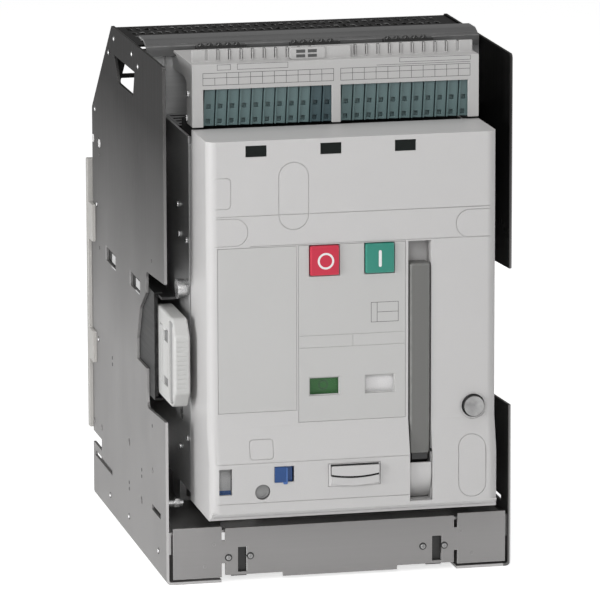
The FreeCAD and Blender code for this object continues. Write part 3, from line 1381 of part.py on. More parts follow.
def mechanism_plates():
    plates = []
    corners = [(S.pivot_y - S.hub_radius, S.pivot_z - S.hub_radius),
               (S.pivot_y - S.hub_radius, S.pivot_z + S.hub_radius),
               (S.face_y + S.channel_deep + 1, S.cam_z), (S.face_y + S.channel_deep + 1,
                                                      S.cam_z + 2 * S.ratchet_radius),
               (deck_y, S.cam_z + 2 * S.ratchet_radius), (deck_y, S.pivot_z - S.hub_radius)]
    for x in (upto(S.mech_left, S.mech_plate), (S.mech_right - S.mech_plate, S.mech_right)):
        plate = slab("mechanism_plate", "YZ", x, [corners])
        carve(plate, "mechanism_plate_bore", "YZ", x, [], [
            (S.cam_y, S.cam_z, S.cam_shaft_radius + S.fit)])
        plates.append(plate)
    pin = rod("pivot_pin", "x", (S.mech_left, S.mech_right), (S.pivot_y, S.pivot_z),
              S.pivot_radius)
    piece("mechanism_plates", join("mechanism_join", plates + [pin]))


def charging_shaft():
    x = (S.mech_left - S.cam_wide - S.crank_plate, S.mech_right + S.crank_plate)
    shaft = slab("charging_bar", "YZ", x, [hexagon((S.cam_y, S.cam_z), S.cam_shaft_radius)])
    teeth = int(S.ratchet_teeth.value)
    points = []
    for tooth in range(teeth):
        for share, radius in ((0, S.ratchet_radius), (0.85, S.ratchet_radius - S.ratchet_tooth)):
            angle = 2 * math.pi * (tooth + share) / teeth
            points.append((S.cam_y + radius * math.cos(angle), S.cam_z + radius * math.sin(angle)))
    middle = (S.mech_left + S.mech_right) / 2
    wheel = slab("ratchet_wheel", "YZ", about(middle, S.ratchet_wide / 2), [points])
    cam_x = (S.mech_left - S.crank_plate / 2 - S.cam_wide, S.mech_left - S.crank_plate / 2)
    cam = slab("cam_blank", "YZ", cam_x, [[
        (S.cam_y - S.cam_base_radius, S.cam_z - S.cam_lobe),
        (S.cam_y, S.cam_z - S.cam_base_radius), (S.cam_y + S.cam_base_radius, S.cam_z - S.cam_lobe),
        (S.cam_y + S.cam_base_radius, S.cam_z + S.cam_lobe), (S.cam_y, S.cam_z + 2 * S.cam_lobe),
        (S.cam_y - S.cam_base_radius, S.cam_z + S.cam_lobe)]])
    piece("charging_shaft", join("charging_join", [shaft, wheel, cam]))


# Front deck: the steel plate that carries the cover, the mechanism and both side frames

def front_deck():
    x = both(S.frame_half)
    span = upto(deck_y, S.frame_steel)
    body = slab("front_deck", "XZ", span, [box_loop(x, (S.frame_low, S.mech_high))])
    g = S.fit
    screw = S.journal_radius + S.button_stem
    stems = [box_loop(about(x, S.button_stem / 2 + g), about(z, S.button_stem / 2 + g))
             for x, z in ((S.off_x, S.button_z), (S.on_x, S.button_z), (S.knob_x, S.knob_z))]
    carve(body, "deck_openings", "XZ", span, stems + [
        box_loop(about(S.screw_x, screw), (S.frame_low - 1, S.screw_z + screw)),
        box_loop((S.mech_left + S.mech_plate, S.mech_right - S.mech_plate),
                 (S.pivot_z, S.cam_z + S.ratchet_radius))])
    piece("front_deck", body)


# Closing spring on its guide bar, between two seats on the deck

def closing_spring():
    centre = (S.spring_x, S.spring_y)
    coil = rod("spring_coil", "z", (S.spring_low, S.spring_high), centre, S.spring_radius)
    bore = block("spring_bore", about(S.spring_x, S.spring_rod + S.fit),
                 about(S.spring_y, S.spring_rod + S.fit), (S.spring_low, S.spring_high))
    piece("closing_spring", cut("spring_tube", coil, [bore]))
    guide = block("spring_guide_bar", about(S.spring_x, S.spring_rod),
                  about(S.spring_y, S.spring_rod),
                  (S.spring_low - S.spring_rod, S.spring_high + S.spring_rod))
    seats = [block("spring_seat", about(S.spring_x, S.spring_radius),
                   (S.spring_y - S.spring_radius, deck_y), span)
             for span in ((S.spring_low - S.spring_rod, S.spring_low),
                          (S.spring_high, S.spring_high + S.spring_rod))]
    piece("spring_guide", join("spring_guide_join", [guide] + seats))


charging_lever()
lever_hub()
mechanism_plates()
charging_shaft()
front_deck()
closing_spring()


# Side frames of the switch, their rollers and the pins that the carriage drives

def side_frame(name, side):
    x = in_order(side * S.frame_half, side * (S.frame_half - S.frame_steel))
    body = slab(name, "YZ", x, [[
        (S.frame_front_y, S.frame_low), (S.frame_rear_y, S.frame_low),
        (S.frame_rear_y, S.frame_slope_z), (S.frame_slope_y, S.frame_high),
        (S.frame_front_y, S.frame_high)]])
    carve(body, name + "_bore", "YZ", x, [], [(S.shaft_y, S.lower_z, S.shaft_journal + S.fit)])
    piece(name, body)


def side_rollers():
    z = S.rail_high + S.fit + S.roller_z_radius
    solids = []
    for side in (-1, 1):
        wheel = in_order(side * S.frame_half, side * (S.frame_half + S.roller_wide))
        for y in (S.roller_front_y, S.roller_rear_y):
            solids.append(rod("roller", "x", wheel, (y, z), S.roller_z_radius))
    piece("side_rollers", group("side_roller_set", solids))


def drive_pins():
    pins = []
    for side in (-1, 1):
        x = in_order(side * (S.carriage_half - S.hook_wide), side * (S.frame_half - S.frame_steel))
        pins.append(rod("drive_pin", "x", x, (S.hook_pin_y, S.hook_pin_z), S.hook_pin_radius))
    piece("drive_pins", group("drive_pin_pair", pins))


# Pole case in two halves, with a chamber for each pole

def pole_case():
    half = S.frame_half - S.frame_steel
    low, high = S.case_low, S.case_high
    front_body = slab("pole_case_front", "YZ", both(half), [box_loop(
        (S.case_front_y, S.case_split_y), (low, high))])
    rear_body = slab("pole_case_rear", "YZ", both(half), [box_loop(
        (S.case_split_y, S.case_rear_y), (low, high))])
    chambers = [box_loop(about(x, S.pole_half), (low + S.case_floor, high + 1)) for _, x in poles]
    carve(front_body, "front_chambers", "XZ", (S.case_front_y + S.case_wall, S.case_split_y),
          chambers)
    carve(rear_body, "rear_chambers", "XZ", (S.case_split_y, S.case_rear_y - S.case_back), chambers)
    ports = [box_loop(about(x, S.link_port_half), (S.link_port_low, S.link_port_high))
             for _, x in poles]
    carve(front_body, "link_ports", "XZ", upto(S.case_front_y, S.case_wall), ports)
    bores = [box_loop(about(x, S.blade_half), about(z, S.copper / 2))
             for _, x in poles for z in (S.lower_z, S.upper_z)]
    carve(rear_body, "conductor_bores", "XZ", (S.case_rear_y - S.case_back, S.case_rear_y), bores)
    piece("pole_case_front", front_body)
    piece("pole_case_rear", rear_body)


# Arc chutes: a slotted stack that hangs in each chamber by its ledge

def arc_chutes():
    chutes = []
    for pole, x in poles:
        y = (S.chute_front_y, S.chute_rear_y)
        body = slab(f"{pole}_chute", "XZ", y, [[
            (x - S.chute_half, S.chute_low), (x + S.chute_half, S.chute_low),
            (x + S.chute_half, S.case_high), (x + S.chute_half + S.chute_flange, S.case_high),
            (x + S.chute_half + S.chute_flange, S.case_high + S.chute_flange),
            (x + S.chute_half, S.case_high + S.chute_flange), (x + S.chute_half, S.chute_high),
            (x - S.chute_half, S.chute_high), (x - S.chute_half, S.case_high + S.chute_flange),
            (x - S.chute_half - S.chute_flange, S.case_high + S.chute_flange),
            (x - S.chute_half - S.chute_flange, S.case_high), (x - S.chute_half, S.case_high)]])
        count = int((S.chute_rear_y - S.chute_front_y - S.chute_slot).value // S.chute_pitch.value)
        slots = []
        for number in range(count):
            middle = (S.chute_front_y + S.chute_rear_y) / 2 \
                + S.chute_pitch * (number - (count - 1) / 2)
            slots.append(box_loop(about(x, S.chute_half - S.chute_flange),
                                  about(middle, S.chute_slot / 2)))
        carve(body, f"{pole}_chute_slots", "XY", (S.chute_low, S.chute_high), slots)
        chutes.append(body)
    piece("arc_chutes", group("arc_chute_set", chutes))


side_frame("left_side_frame", -1)
side_frame("right_side_frame", 1)
side_rollers()
drive_pins()
pole_case()
arc_chutes()


# Current path of each pole: upper and lower conductor, contact arm and jaws

def upper_conductors():
    bars = []
    tip_y = S.arm_y + S.arm_thick / 2 + S.tip_thick + S.contact_gap
    for pole, x in poles:
        tip = block(f"{pole}_fixed_tip", about(x, S.tip_half), upto(tip_y, S.tip_thick),
                    about(S.upper_z, S.tip_tall / 2))
        bar = block(f"{pole}_upper_bar", about(x, S.blade_half),
                    (tip_y + S.tip_thick, S.conductor_rear_y), about(S.upper_z, S.copper / 2))
        bars.append(join(f"{pole}_upper_conductor", [tip, bar]))
    piece("upper_conductors", group("upper_conductor_set", bars))


def lower_conductors():
    bars = []
    pin_line = (S.arm_y, S.lower_z)
    for pole, x in poles:
        start_y = S.arm_y + S.arm_boss + S.arm_swing
        bar = block(f"{pole}_lower_bar", about(x, S.blade_half), (start_y, S.conductor_rear_y),
                    about(S.lower_z, S.copper / 2))
        lug_out = S.arm_half + S.fit + S.lug_wide
        lugs = [block(f"{pole}_lug", span, (S.arm_y - S.arm_boss, start_y + S.lug_wide),
                      about(S.lower_z, S.copper / 2))
                for span in ((x - lug_out, x - S.arm_half - S.fit),
                             (x + S.arm_half + S.fit, x + lug_out))]
        pin = slab(f"{pole}_arm_pin", "YZ", about(x, lug_out),
                   [hexagon(pin_line, S.arm_pin_radius)])
        bars.append(join(f"{pole}_lower_conductor", [bar, pin] + lugs))
    piece("lower_conductors", group("lower_conductor_set", bars))


def contact_arms():
    arms = []
    pin_line = (S.arm_y, S.lower_z)
    for pole, x in poles:
        width = about(x, S.arm_half)
        thick, foot = S.arm_thick / 2, S.arm_boss
        bar = slab(f"{pole}_arm_bar", "YZ", width, [[
            (S.arm_y - thick, S.arm_top), (S.arm_y - thick, S.lower_z + foot),
            (S.arm_y - foot, S.lower_z + thick), (S.arm_y - foot, S.lower_z - thick),
            (S.arm_y - thick, S.lower_z - foot), (S.arm_y + thick, S.lower_z - foot),
            (S.arm_y + foot, S.lower_z - thick), (S.arm_y + foot, S.lower_z + thick),
            (S.arm_y + thick, S.lower_z + foot), (S.arm_y + thick, S.arm_top)]])
        tip = block(f"{pole}_moving_tip", about(x, S.tip_half),
                    upto(S.arm_y + S.arm_thick / 2, S.tip_thick),
                    about(S.upper_z, S.tip_tall / 2))
        pin = slab(f"{pole}_link_pin", "YZ", about(x, S.arm_half + S.fit + S.fork_wall),
                   [hexagon((S.arm_y, S.lower_z + S.crank), S.link_pin_radius)])
        bore = rod(f"{pole}_arm_bore", "x", width, pin_line, S.arm_pin_radius + S.fit)
        arms.append(cut(f"{pole}_arm", join(f"{pole}_arm_blank", [bar, tip, pin]), [bore]))
    piece("contact_arms", tilt(group("contact_arm_set", arms), pin_line, S.open_angle))


def jaws(name, z):
    solids = []
    count = int(S.finger_count.value)
    for pole, x in poles:
        fingers = []
        for number in range(count):
            middle = x + S.finger_pitch * (number - (count - 1) / 2)
            across = about(middle, S.finger_wide / 2)
            for sign in (-1, 1):
                near = z + sign * (S.copper / 2 + S.fit)
                far = near + sign * S.finger_tall
                fingers.append(slab(f"{name}_{pole}_finger", "YZ", across, [[
                    (S.jaw_front_y, near), (S.jaw_rear_y - S.finger_lead, near),
                    (S.jaw_rear_y, near + sign * S.finger_lead), (S.jaw_rear_y, far),
                    (S.jaw_front_y, far)]]))
        inside = S.copper / 2 + S.fit + S.finger_tall
        side = S.blade_half + S.fit
        wall = S.cage_wall
        cage = slab(f"{name}_{pole}_cage", "XZ", upto(S.cage_y, S.cage_deep), [
            box_loop(about(x, side + wall), about(z, inside + wall)),
            box_loop(about(x, side), about(z, inside))])
        solids.append(join(f"{name}_{pole}_jaw", fingers + [cage]))
    piece(name, group(name + "_set", solids))


# Pole shaft with a pair of cranks at each pole, and the insulating links

def pole_shaft():
    line = (S.shaft_y, S.lower_z)
    half = S.frame_half - S.frame_steel - S.fit
    parts = [slab("shaft_bar", "YZ", both(half), [hexagon(line, S.shaft_radius)])]
    for side in (-1, 1):
        parts.append(rod("shaft_journal_end", "x", in_order(side * half, side * S.frame_half),
                         line, S.shaft_journal))
    for pole, x in poles:
        for sign in (-1, 1):
            near = x + sign * (S.link_half + S.fit)
            span = in_order(near, near + sign * S.crank_plate)
            parts.append(slab(f"{pole}_crank_plate", "YZ", span, [[
                (S.shaft_y - S.crank_boss, S.lower_z),
                (S.shaft_y - S.crank_boss, S.lower_z + S.crank + S.crank_boss),
                (S.shaft_y + S.crank_boss, S.lower_z + S.crank + S.crank_boss),
                (S.shaft_y + S.crank_boss, S.lower_z)]]))
        parts.append(slab(f"{pole}_crank_pin", "YZ", about(x, S.link_half + S.fit + S.crank_plate),
                          [hexagon((S.shaft_y, S.lower_z + S.crank), S.link_pin_radius)]))
    piece("pole_shaft", tilt(join("pole_shaft_join", parts), line, S.open_angle))


def link_rods():
    links = []
    z = S.lower_z + S.crank
    for pole, x in poles:
        rise = about(z, S.link_rise)
        eye = S.link_pin_radius + S.crank_boss / 2
        back = S.arm_y - S.fork_back
        bar = block(f"{pole}_link_bar", about(x, S.link_half), (S.shaft_y - eye, back), rise)
        out = S.arm_half + S.fit + S.fork_wall
        cross = block(f"{pole}_link_cross", about(x, out), upto(back, S.fork_wall), rise)
        walls = [block(f"{pole}_link_fork", span, (back, S.arm_y + eye), rise)
                 for span in ((x - out, x - S.arm_half - S.fit), (x + S.arm_half + S.fit, x + out))]
        play = S.link_pin_radius + S.fit
        bore = rod(f"{pole}_link_bore", "x", about(x, S.link_half), (S.shaft_y, z), play)
        slot = block(f"{pole}_link_slot", about(x, out), about(S.arm_y, play), about(z, play))
        links.append(cut(f"{pole}_link", join(f"{pole}_link_blank", [bar, cross] + walls),
                         [bore, slot]))
    rods = group("link_rod_set", links)
    seat(rods, 0, -(S.crank * sine(S.open_angle)), S.crank * cosine(S.open_angle) - S.crank)
    piece("link_rods", rods)


upper_conductors()
lower_conductors()
contact_arms()
jaws("upper_jaws", S.upper_z)
jaws("lower_jaws", S.lower_z)
pole_shaft()
link_rods()


# Every piece is looked at before anything is written

doc.recompute()
faults = [item.Name for item in doc.Objects if {"Invalid", "Error"} & set(item.State)]
faults += [name for name, item in pieces.items()
           if item.Shape.isNull() or not item.Shape.isValid() or not item.Shape.Solids]
if faults:
    raise RuntimeError("failed: " + ", ".join(faults))

os.makedirs("parts", exist_ok=True)
for name, item in pieces.items():
    item.Shape.exportStep(os.path.join("parts", name + ".step"))
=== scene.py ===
"""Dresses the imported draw-out switch: finishes, detailed pieces, stage and camera."""

import json
import math

import bmesh
import bpy
from bpy.props import FloatProperty, FloatVectorProperty, IntProperty, PointerProperty
from bpy.types import Operator, Panel, PropertyGroup
from mathutils import Matrix, Vector

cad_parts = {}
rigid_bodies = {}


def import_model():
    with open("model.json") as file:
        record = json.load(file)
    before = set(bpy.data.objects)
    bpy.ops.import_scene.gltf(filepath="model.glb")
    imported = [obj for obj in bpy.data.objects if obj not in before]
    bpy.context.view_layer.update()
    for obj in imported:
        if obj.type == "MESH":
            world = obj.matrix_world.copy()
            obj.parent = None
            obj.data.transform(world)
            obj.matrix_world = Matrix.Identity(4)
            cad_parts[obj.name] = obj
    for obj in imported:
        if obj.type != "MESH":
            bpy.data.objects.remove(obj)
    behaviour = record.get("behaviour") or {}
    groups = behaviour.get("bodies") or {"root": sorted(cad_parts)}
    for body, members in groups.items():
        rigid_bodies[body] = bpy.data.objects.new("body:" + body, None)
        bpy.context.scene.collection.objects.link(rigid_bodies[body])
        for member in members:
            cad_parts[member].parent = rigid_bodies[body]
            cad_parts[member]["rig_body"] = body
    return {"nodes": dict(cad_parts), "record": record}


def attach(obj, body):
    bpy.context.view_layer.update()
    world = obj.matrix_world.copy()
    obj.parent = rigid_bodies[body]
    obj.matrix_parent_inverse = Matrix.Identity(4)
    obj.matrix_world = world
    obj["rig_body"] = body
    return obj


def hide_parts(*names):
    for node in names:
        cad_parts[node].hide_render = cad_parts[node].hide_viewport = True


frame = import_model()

bl_info = {
    "name": "Draw-out switch dressing",
    "version": (1, 0, 0),
    "blender": (4, 5, 0),
    "location": "3D View > Sidebar > Switch",
    "description": "Detailed pieces, finishes and stage of a draw-out air switch-disconnector",
    "category": "Object",
}

MM = 0.001
SMOOTH_ANGLE = math.radians(38)
SHARP_ANGLE = math.radians(25)
EDGE_MARK = "edge"

# Planes that many details lie on, in millimetres
COVER_FACE = -229.9
BULGE_FACE = -237.5
BULGE_HIGH = 152
BULGE_FULL = 121
BLOCK_FACE = -165.5
COMB_FACE = -157.0
PLATE_FACE = -156.6
PLATE_INSIDE = -154.1
CROSS_FACE = -178.0
BUTTON_FACE = -232.5
HASP_FACE = -238
POLES = (-85, 0, 85)

# How far ruled lines stand out of a face
INK_PROUD = 0.05

# Centres of round things: the lever's pivot as (y, z), the others as (x, z)
PIVOT = (-203, 106)
KNOB = (108, 161.5)
CRANK = (-82.6, 95.3)
OFF_MARK = (-24.8, 297.0)
FLAG_MARK = (-25.6, 185.6)

nodes = frame["nodes"]
slot_of = {row["node"]: row["material_slot"] for row in frame["record"]["subparts"]}


# Sizes and colours that a user may change

def length(name, description, value):
    return FloatProperty(name=name, description=description, default=value * MM, min=0,
                         unit="LENGTH", subtype="DISTANCE", precision=5)


def tint(name, description, value):
    return FloatVectorProperty(name=name, description=description, default=value, size=3,
                               min=0, max=1, subtype="COLOR")


class SwitchSizes(PropertyGroup):
    sheet_edge: length("Sheet edge", "Rounding of cut sheet edges", 0.35)
    moulded_edge: length("Moulded edge", "Rounding of moulded edges", 0.8)
    cover_edge: length("Cover edge", "Rounding of the front cover's edges", 1.6)
    groove_wide: length("Groove width", "Width of a joint line in the cover", 0.7)
    groove_deep: length("Groove depth", "Depth of a joint line in the cover", 0.9)
    lid_slot_wide: length("Lid slot width", "Width of a slot in the perforated cover", 4.8)
    lid_slot_long: length("Lid slot length", "Length of a slot in the perforated cover", 15)
    lid_slot_pitch: length("Lid slot pitch", "Spacing of the slots across the cover", 7.8)
    lid_row_pitch: length("Lid row pitch", "Spacing of the rows of slots", 22.2)
    strip_pitch: length("Strip pitch", "Spacing of the terminals of a strip", 10.6)
    spring_wire: length("Spring wire", "Radius of the closing spring's wire", 2.2)
    thread_pitch: length("Thread pitch", "Pitch of the racking screw's thread", 6)
    floor_size: length("Floor size", "Side of the pale floor", 9000)
    camera_distance: length("Camera distance", "Camera to the middle of the view", 4903.885)
    lid_rows: IntProperty(name="Lid rows", description="Rows of slots", default=4, min=1)
    spring_turns: IntProperty(name="Spring turns", description="Turns of the closing spring",
                              default=12, min=2)


class SwitchColours(PropertyGroup):
    cover: tint("Cover", "Moulded front cover", (0.535, 0.528, 0.525))
    panel: tint("Panel", "Inset panels of the cover", (0.50, 0.497, 0.49))
    block: tint("Block", "Frame of the terminal block", (0.47, 0.465, 0.46))
    grip: tint("Grip", "Grips of the rails", (0.52, 0.52, 0.51))
    plate: tint("Plate", "Side plates of the cradle", (0.46, 0.453, 0.45))
    cross: tint("Front plate", "Front plate of the cradle", (0.27, 0.264, 0.262))
    bar: tint("Bar", "Top cross bar", (0.15, 0.15, 0.15))
    zinc: tint("Zinc", "Galvanised sheet", (0.50, 0.50, 0.50))
    bright: tint("Bright steel", "Turned and ground steel", (0.66, 0.66, 0.66))
    black_sheet: tint("Black sheet", "Perforated cover", (0.012, 0.0115, 0.0115))
    black_moulding: tint("Black moulding", "Rear screen and arc chutes", (0.018, 0.018, 0.018))
    insulator: tint("Insulator", "Moulded insulation", (0.42, 0.41, 0.39))
    teal: tint("Terminals", "Terminal strips", (0.10, 0.155, 0.158))
    teal_dark: tint("Dark terminals", "Last terminals of the left strip", (0.045, 0.080, 0.090))
    red: tint("Red", "Off button", (0.52, 0.016, 0.048))
    green: tint("Green", "On button", (0.018, 0.215, 0.160))
    flag_green: tint("Flag green", "Contact flag", (0.003, 0.100, 0.005))
    flag_white: tint("Flag white", "Spring flag", (0.78, 0.77, 0.77))
    blue: tint("Blue", "Release slider", (0.007, 0.052, 0.190))
    lever: tint("Lever", "Charging lever", (0.140, 0.140, 0.134))
    knob: tint("Knob", "Release button", (0.24, 0.237, 0.238))
    copper: tint("Silvered copper", "Bars and contacts", (0.62, 0.56, 0.48))
    dark_steel: tint("Dark steel", "Inner sheets of the cradle", (0.036, 0.036, 0.036))
    rivet: tint("Rivet", "Rivet and screw heads", (0.34, 0.34, 0.34))
    gloss: tint("Gloss black", "Rounded bumps of the vent combs", (0.075, 0.075, 0.075))
    blue_tab: tint("Blue tab", "Slider tab and position band", (0.045, 0.125, 0.36))
    flag_mark: tint("Flag mark", "Mark on the contact flag", (0.006, 0.055, 0.011))
    flag_grey: tint("Flag grey", "Position flag above its band", (0.53, 0.53, 0.53))
    # Painted shade: these darker greys lie in the grips' slot and pockets and on the crank hole's
    # shutter, for the shade in these recesses
    slot_grey: tint("Slot grey", "Beds of the grips' slots, crank hole", (0.29, 0.29, 0.29))
    pocket_grey: tint("Pocket grey", "Beds of the grips' pockets", (0.18, 0.18, 0.18))
    # Near-black: partly the rails' own dark steel, partly painted shade of the shadow they lie in;
    # the hasp's gap strips use it too
    rail: tint("Rail", "Rails beside the switch", (0.013, 0.013, 0.013))
    ink: tint("Ink", "Ruled lines and marks", (0.10, 0.10, 0.10))
    floor: tint("Floor", "Floor and backdrop", (0.88, 0.88, 0.88))


def sizes():
    return bpy.context.scene.switch_sizes


def colours():
    return bpy.context.scene.switch_colours


# Shader effects shared by the finishes

def new_group(name, inputs, outputs):
    group = bpy.data.node_groups.new(name, "ShaderNodeTree")
    for label, kind, value in inputs:
        socket = group.interface.new_socket(label, in_out="INPUT", socket_type=kind)
        socket.default_value = value
    for label, kind in outputs:
        group.interface.new_socket(label, in_out="OUTPUT", socket_type=kind)
    return group, group.nodes.new("NodeGroupInput"), group.nodes.new("NodeGroupOutput")


def calculate(tree, operation, first, second=None, clamp=False):
    node = tree.nodes.new("ShaderNodeMath")
    node.operation, node.use_clamp = operation, clamp
    for socket, value in zip(node.inputs, (first, second)):
        if isinstance(value, (int, float)):
            socket.default_value = value
        elif value is not None:
            tree.links.new(value, socket)
    return node.outputs[0]


def noise_texture(tree, place, scale, detail):
    node = tree.nodes.new("ShaderNodeTexNoise")
    node.inputs["Detail"].default_value = detail
    tree.links.new(place, node.inputs["Vector"])
    if isinstance(scale, (int, float)):
        node.inputs["Scale"].default_value = scale
    else:
        tree.links.new(scale, node.inputs["Scale"])
    return node.outputs["Fac"]


def grain_group():
    """Fine irregular grain, stretched along one axis where the surface is brushed."""
    group, start, end = new_group(
        "Grain",
        [("Scale", "NodeSocketFloat", 900.0), ("Stretch", "NodeSocketVector", (1, 1, 1)),
         ("Contrast", "NodeSocketFloat", 1.0)],
        [("Shade", "NodeSocketFloat"), ("Height", "NodeSocketFloat")])
    place = group.nodes.new("ShaderNodeTexCoord").outputs["Object"]
    stretch = group.nodes.new("ShaderNodeVectorMath")
    stretch.operation = "MULTIPLY"
    group.links.new(place, stretch.inputs[0])
    group.links.new(start.outputs["Stretch"], stretch.inputs[1])
    fine = noise_texture(group, stretch.outputs[0], start.outputs["Scale"], 3)
    broad = noise_texture(group, place, 14, 4)
    both = calculate(group, "ADD", calculate(group, "MULTIPLY", fine, 0.6),
                     calculate(group, "MULTIPLY", broad, 0.4))
    centred = calculate(group, "SUBTRACT", both, 0.5)
    shade = calculate(group, "ADD",
                      calculate(group, "MULTIPLY", centred, start.outputs["Contrast"]), 0.5, True)
    group.links.new(shade, end.inputs["Shade"])
    group.links.new(fine, end.inputs["Height"])
    return group


def wear_group():
    """Rubbed spots along the rounded edges."""
    group, start, end = new_group(
        "Edge wear", [("Amount", "NodeSocketFloat", 0.5), ("Scale", "NodeSocketFloat", 120.0)],
        [("Mask", "NodeSocketFloat")])
    mark = group.nodes.new("ShaderNodeAttribute")
    mark.attribute_name = EDGE_MARK
    place = group.nodes.new("ShaderNodeTexCoord").outputs["Object"]
    noise = noise_texture(group, place, start.outputs["Scale"], 5)
    spots = calculate(group, "MULTIPLY", calculate(group, "SUBTRACT", noise, 0.3), 2.2, True)
    worn = calculate(group, "MULTIPLY", mark.outputs["Fac"], spots)
    group.links.new(calculate(group, "MULTIPLY", worn, start.outputs["Amount"], True),
                    end.inputs["Mask"])
    return group


def dust_group():
    """A thin film on faces that look up."""
    group, start, end = new_group("Settled dust", [("Amount", "NodeSocketFloat", 0.2)],
                                  [("Mask", "NodeSocketFloat")])
    place = group.nodes.new("ShaderNodeTexCoord")
    split = group.nodes.new("ShaderNodeSeparateXYZ")
    group.links.new(place.outputs["Normal"], split.inputs[0])
    noise = noise_texture(group, place.outputs["Object"], 45, 6)
    up = calculate(group, "MULTIPLY", split.outputs["Z"], noise, True)
    group.links.new(calculate(group, "MULTIPLY", up, start.outputs["Amount"], True),
                    end.inputs["Mask"])
    return group


def rise_group():
    """Painted shade that grows with the height above the floor, with uneven borders."""
    group, start, end = new_group(
        "Rising shade", [("Low", "NodeSocketFloat", 0.2), ("High", "NodeSocketFloat", 0.45)],
        [("Mask", "NodeSocketFloat")])
    place = group.nodes.new("ShaderNodeTexCoord").outputs["Object"]
    split = group.nodes.new("ShaderNodeSeparateXYZ")
    group.links.new(place, split.inputs[0])
    ragged = calculate(group, "ADD", split.outputs["Z"],
                       calculate(group, "MULTIPLY", noise_texture(group, place, 9, 3), 0.04))
    ramp = group.nodes.new("ShaderNodeMapRange")
    group.links.new(ragged, ramp.inputs["Value"])
    group.links.new(start.outputs["Low"], ramp.inputs["From Min"])
    group.links.new(start.outputs["High"], ramp.inputs["From Max"])
    group.links.new(ramp.outputs["Result"], end.inputs["Mask"])
    return group


# Painted shade on the right plate's inner half, between these places along x in metres
PAINTED_SHADE_FROM, PAINTED_SHADE_TO = 0.150, 0.1556


def inner_shade_group():
    """Where painted shade darkens the inner side of the right plate, which lies in the switch's
    shadow.
    """
    group, _, end = new_group("Painted inner shade", [], [("Mask", "NodeSocketFloat")])
    place = group.nodes.new("ShaderNodeTexCoord").outputs["Object"]
    split = group.nodes.new("ShaderNodeSeparateXYZ")
    group.links.new(place, split.inputs[0])
    right = calculate(group, "GREATER_THAN", split.outputs["X"], PAINTED_SHADE_FROM)
    inside = calculate(group, "LESS_THAN", split.outputs["X"], PAINTED_SHADE_TO)
    group.links.new(calculate(group, "MULTIPLY", right, inside), end.inputs["Mask"])
    return group


groups = {}


def group_node(tree, name, maker, **values):
    if name not in groups:
        groups[name] = maker()
    node = tree.nodes.new("ShaderNodeGroup")
    node.node_tree = groups[name]
    for label, value in values.items():
        node.inputs[label].default_value = value
    return node


def blend_colour(tree, factor, first, second, mode="MIX"):
    node = tree.nodes.new("ShaderNodeMix")
    node.data_type, node.blend_type = "RGBA", mode
    if isinstance(factor, (int, float)):
        node.inputs["Factor"].default_value = factor
    else:
        tree.links.new(factor, node.inputs["Factor"])
    for socket, value in ((node.inputs["A"], first), (node.inputs["B"], second)):
        if isinstance(value, tuple):
            socket.default_value = (*value, 1)
        else:
            tree.links.new(value, socket)
    return node.outputs["Result"]


def scaled(colour, factor):
    return tuple(min(1, c * factor) for c in colour)


def mixed(colour, other, share):
    return tuple(a + (b - a) * share for a, b in zip(colour, other))


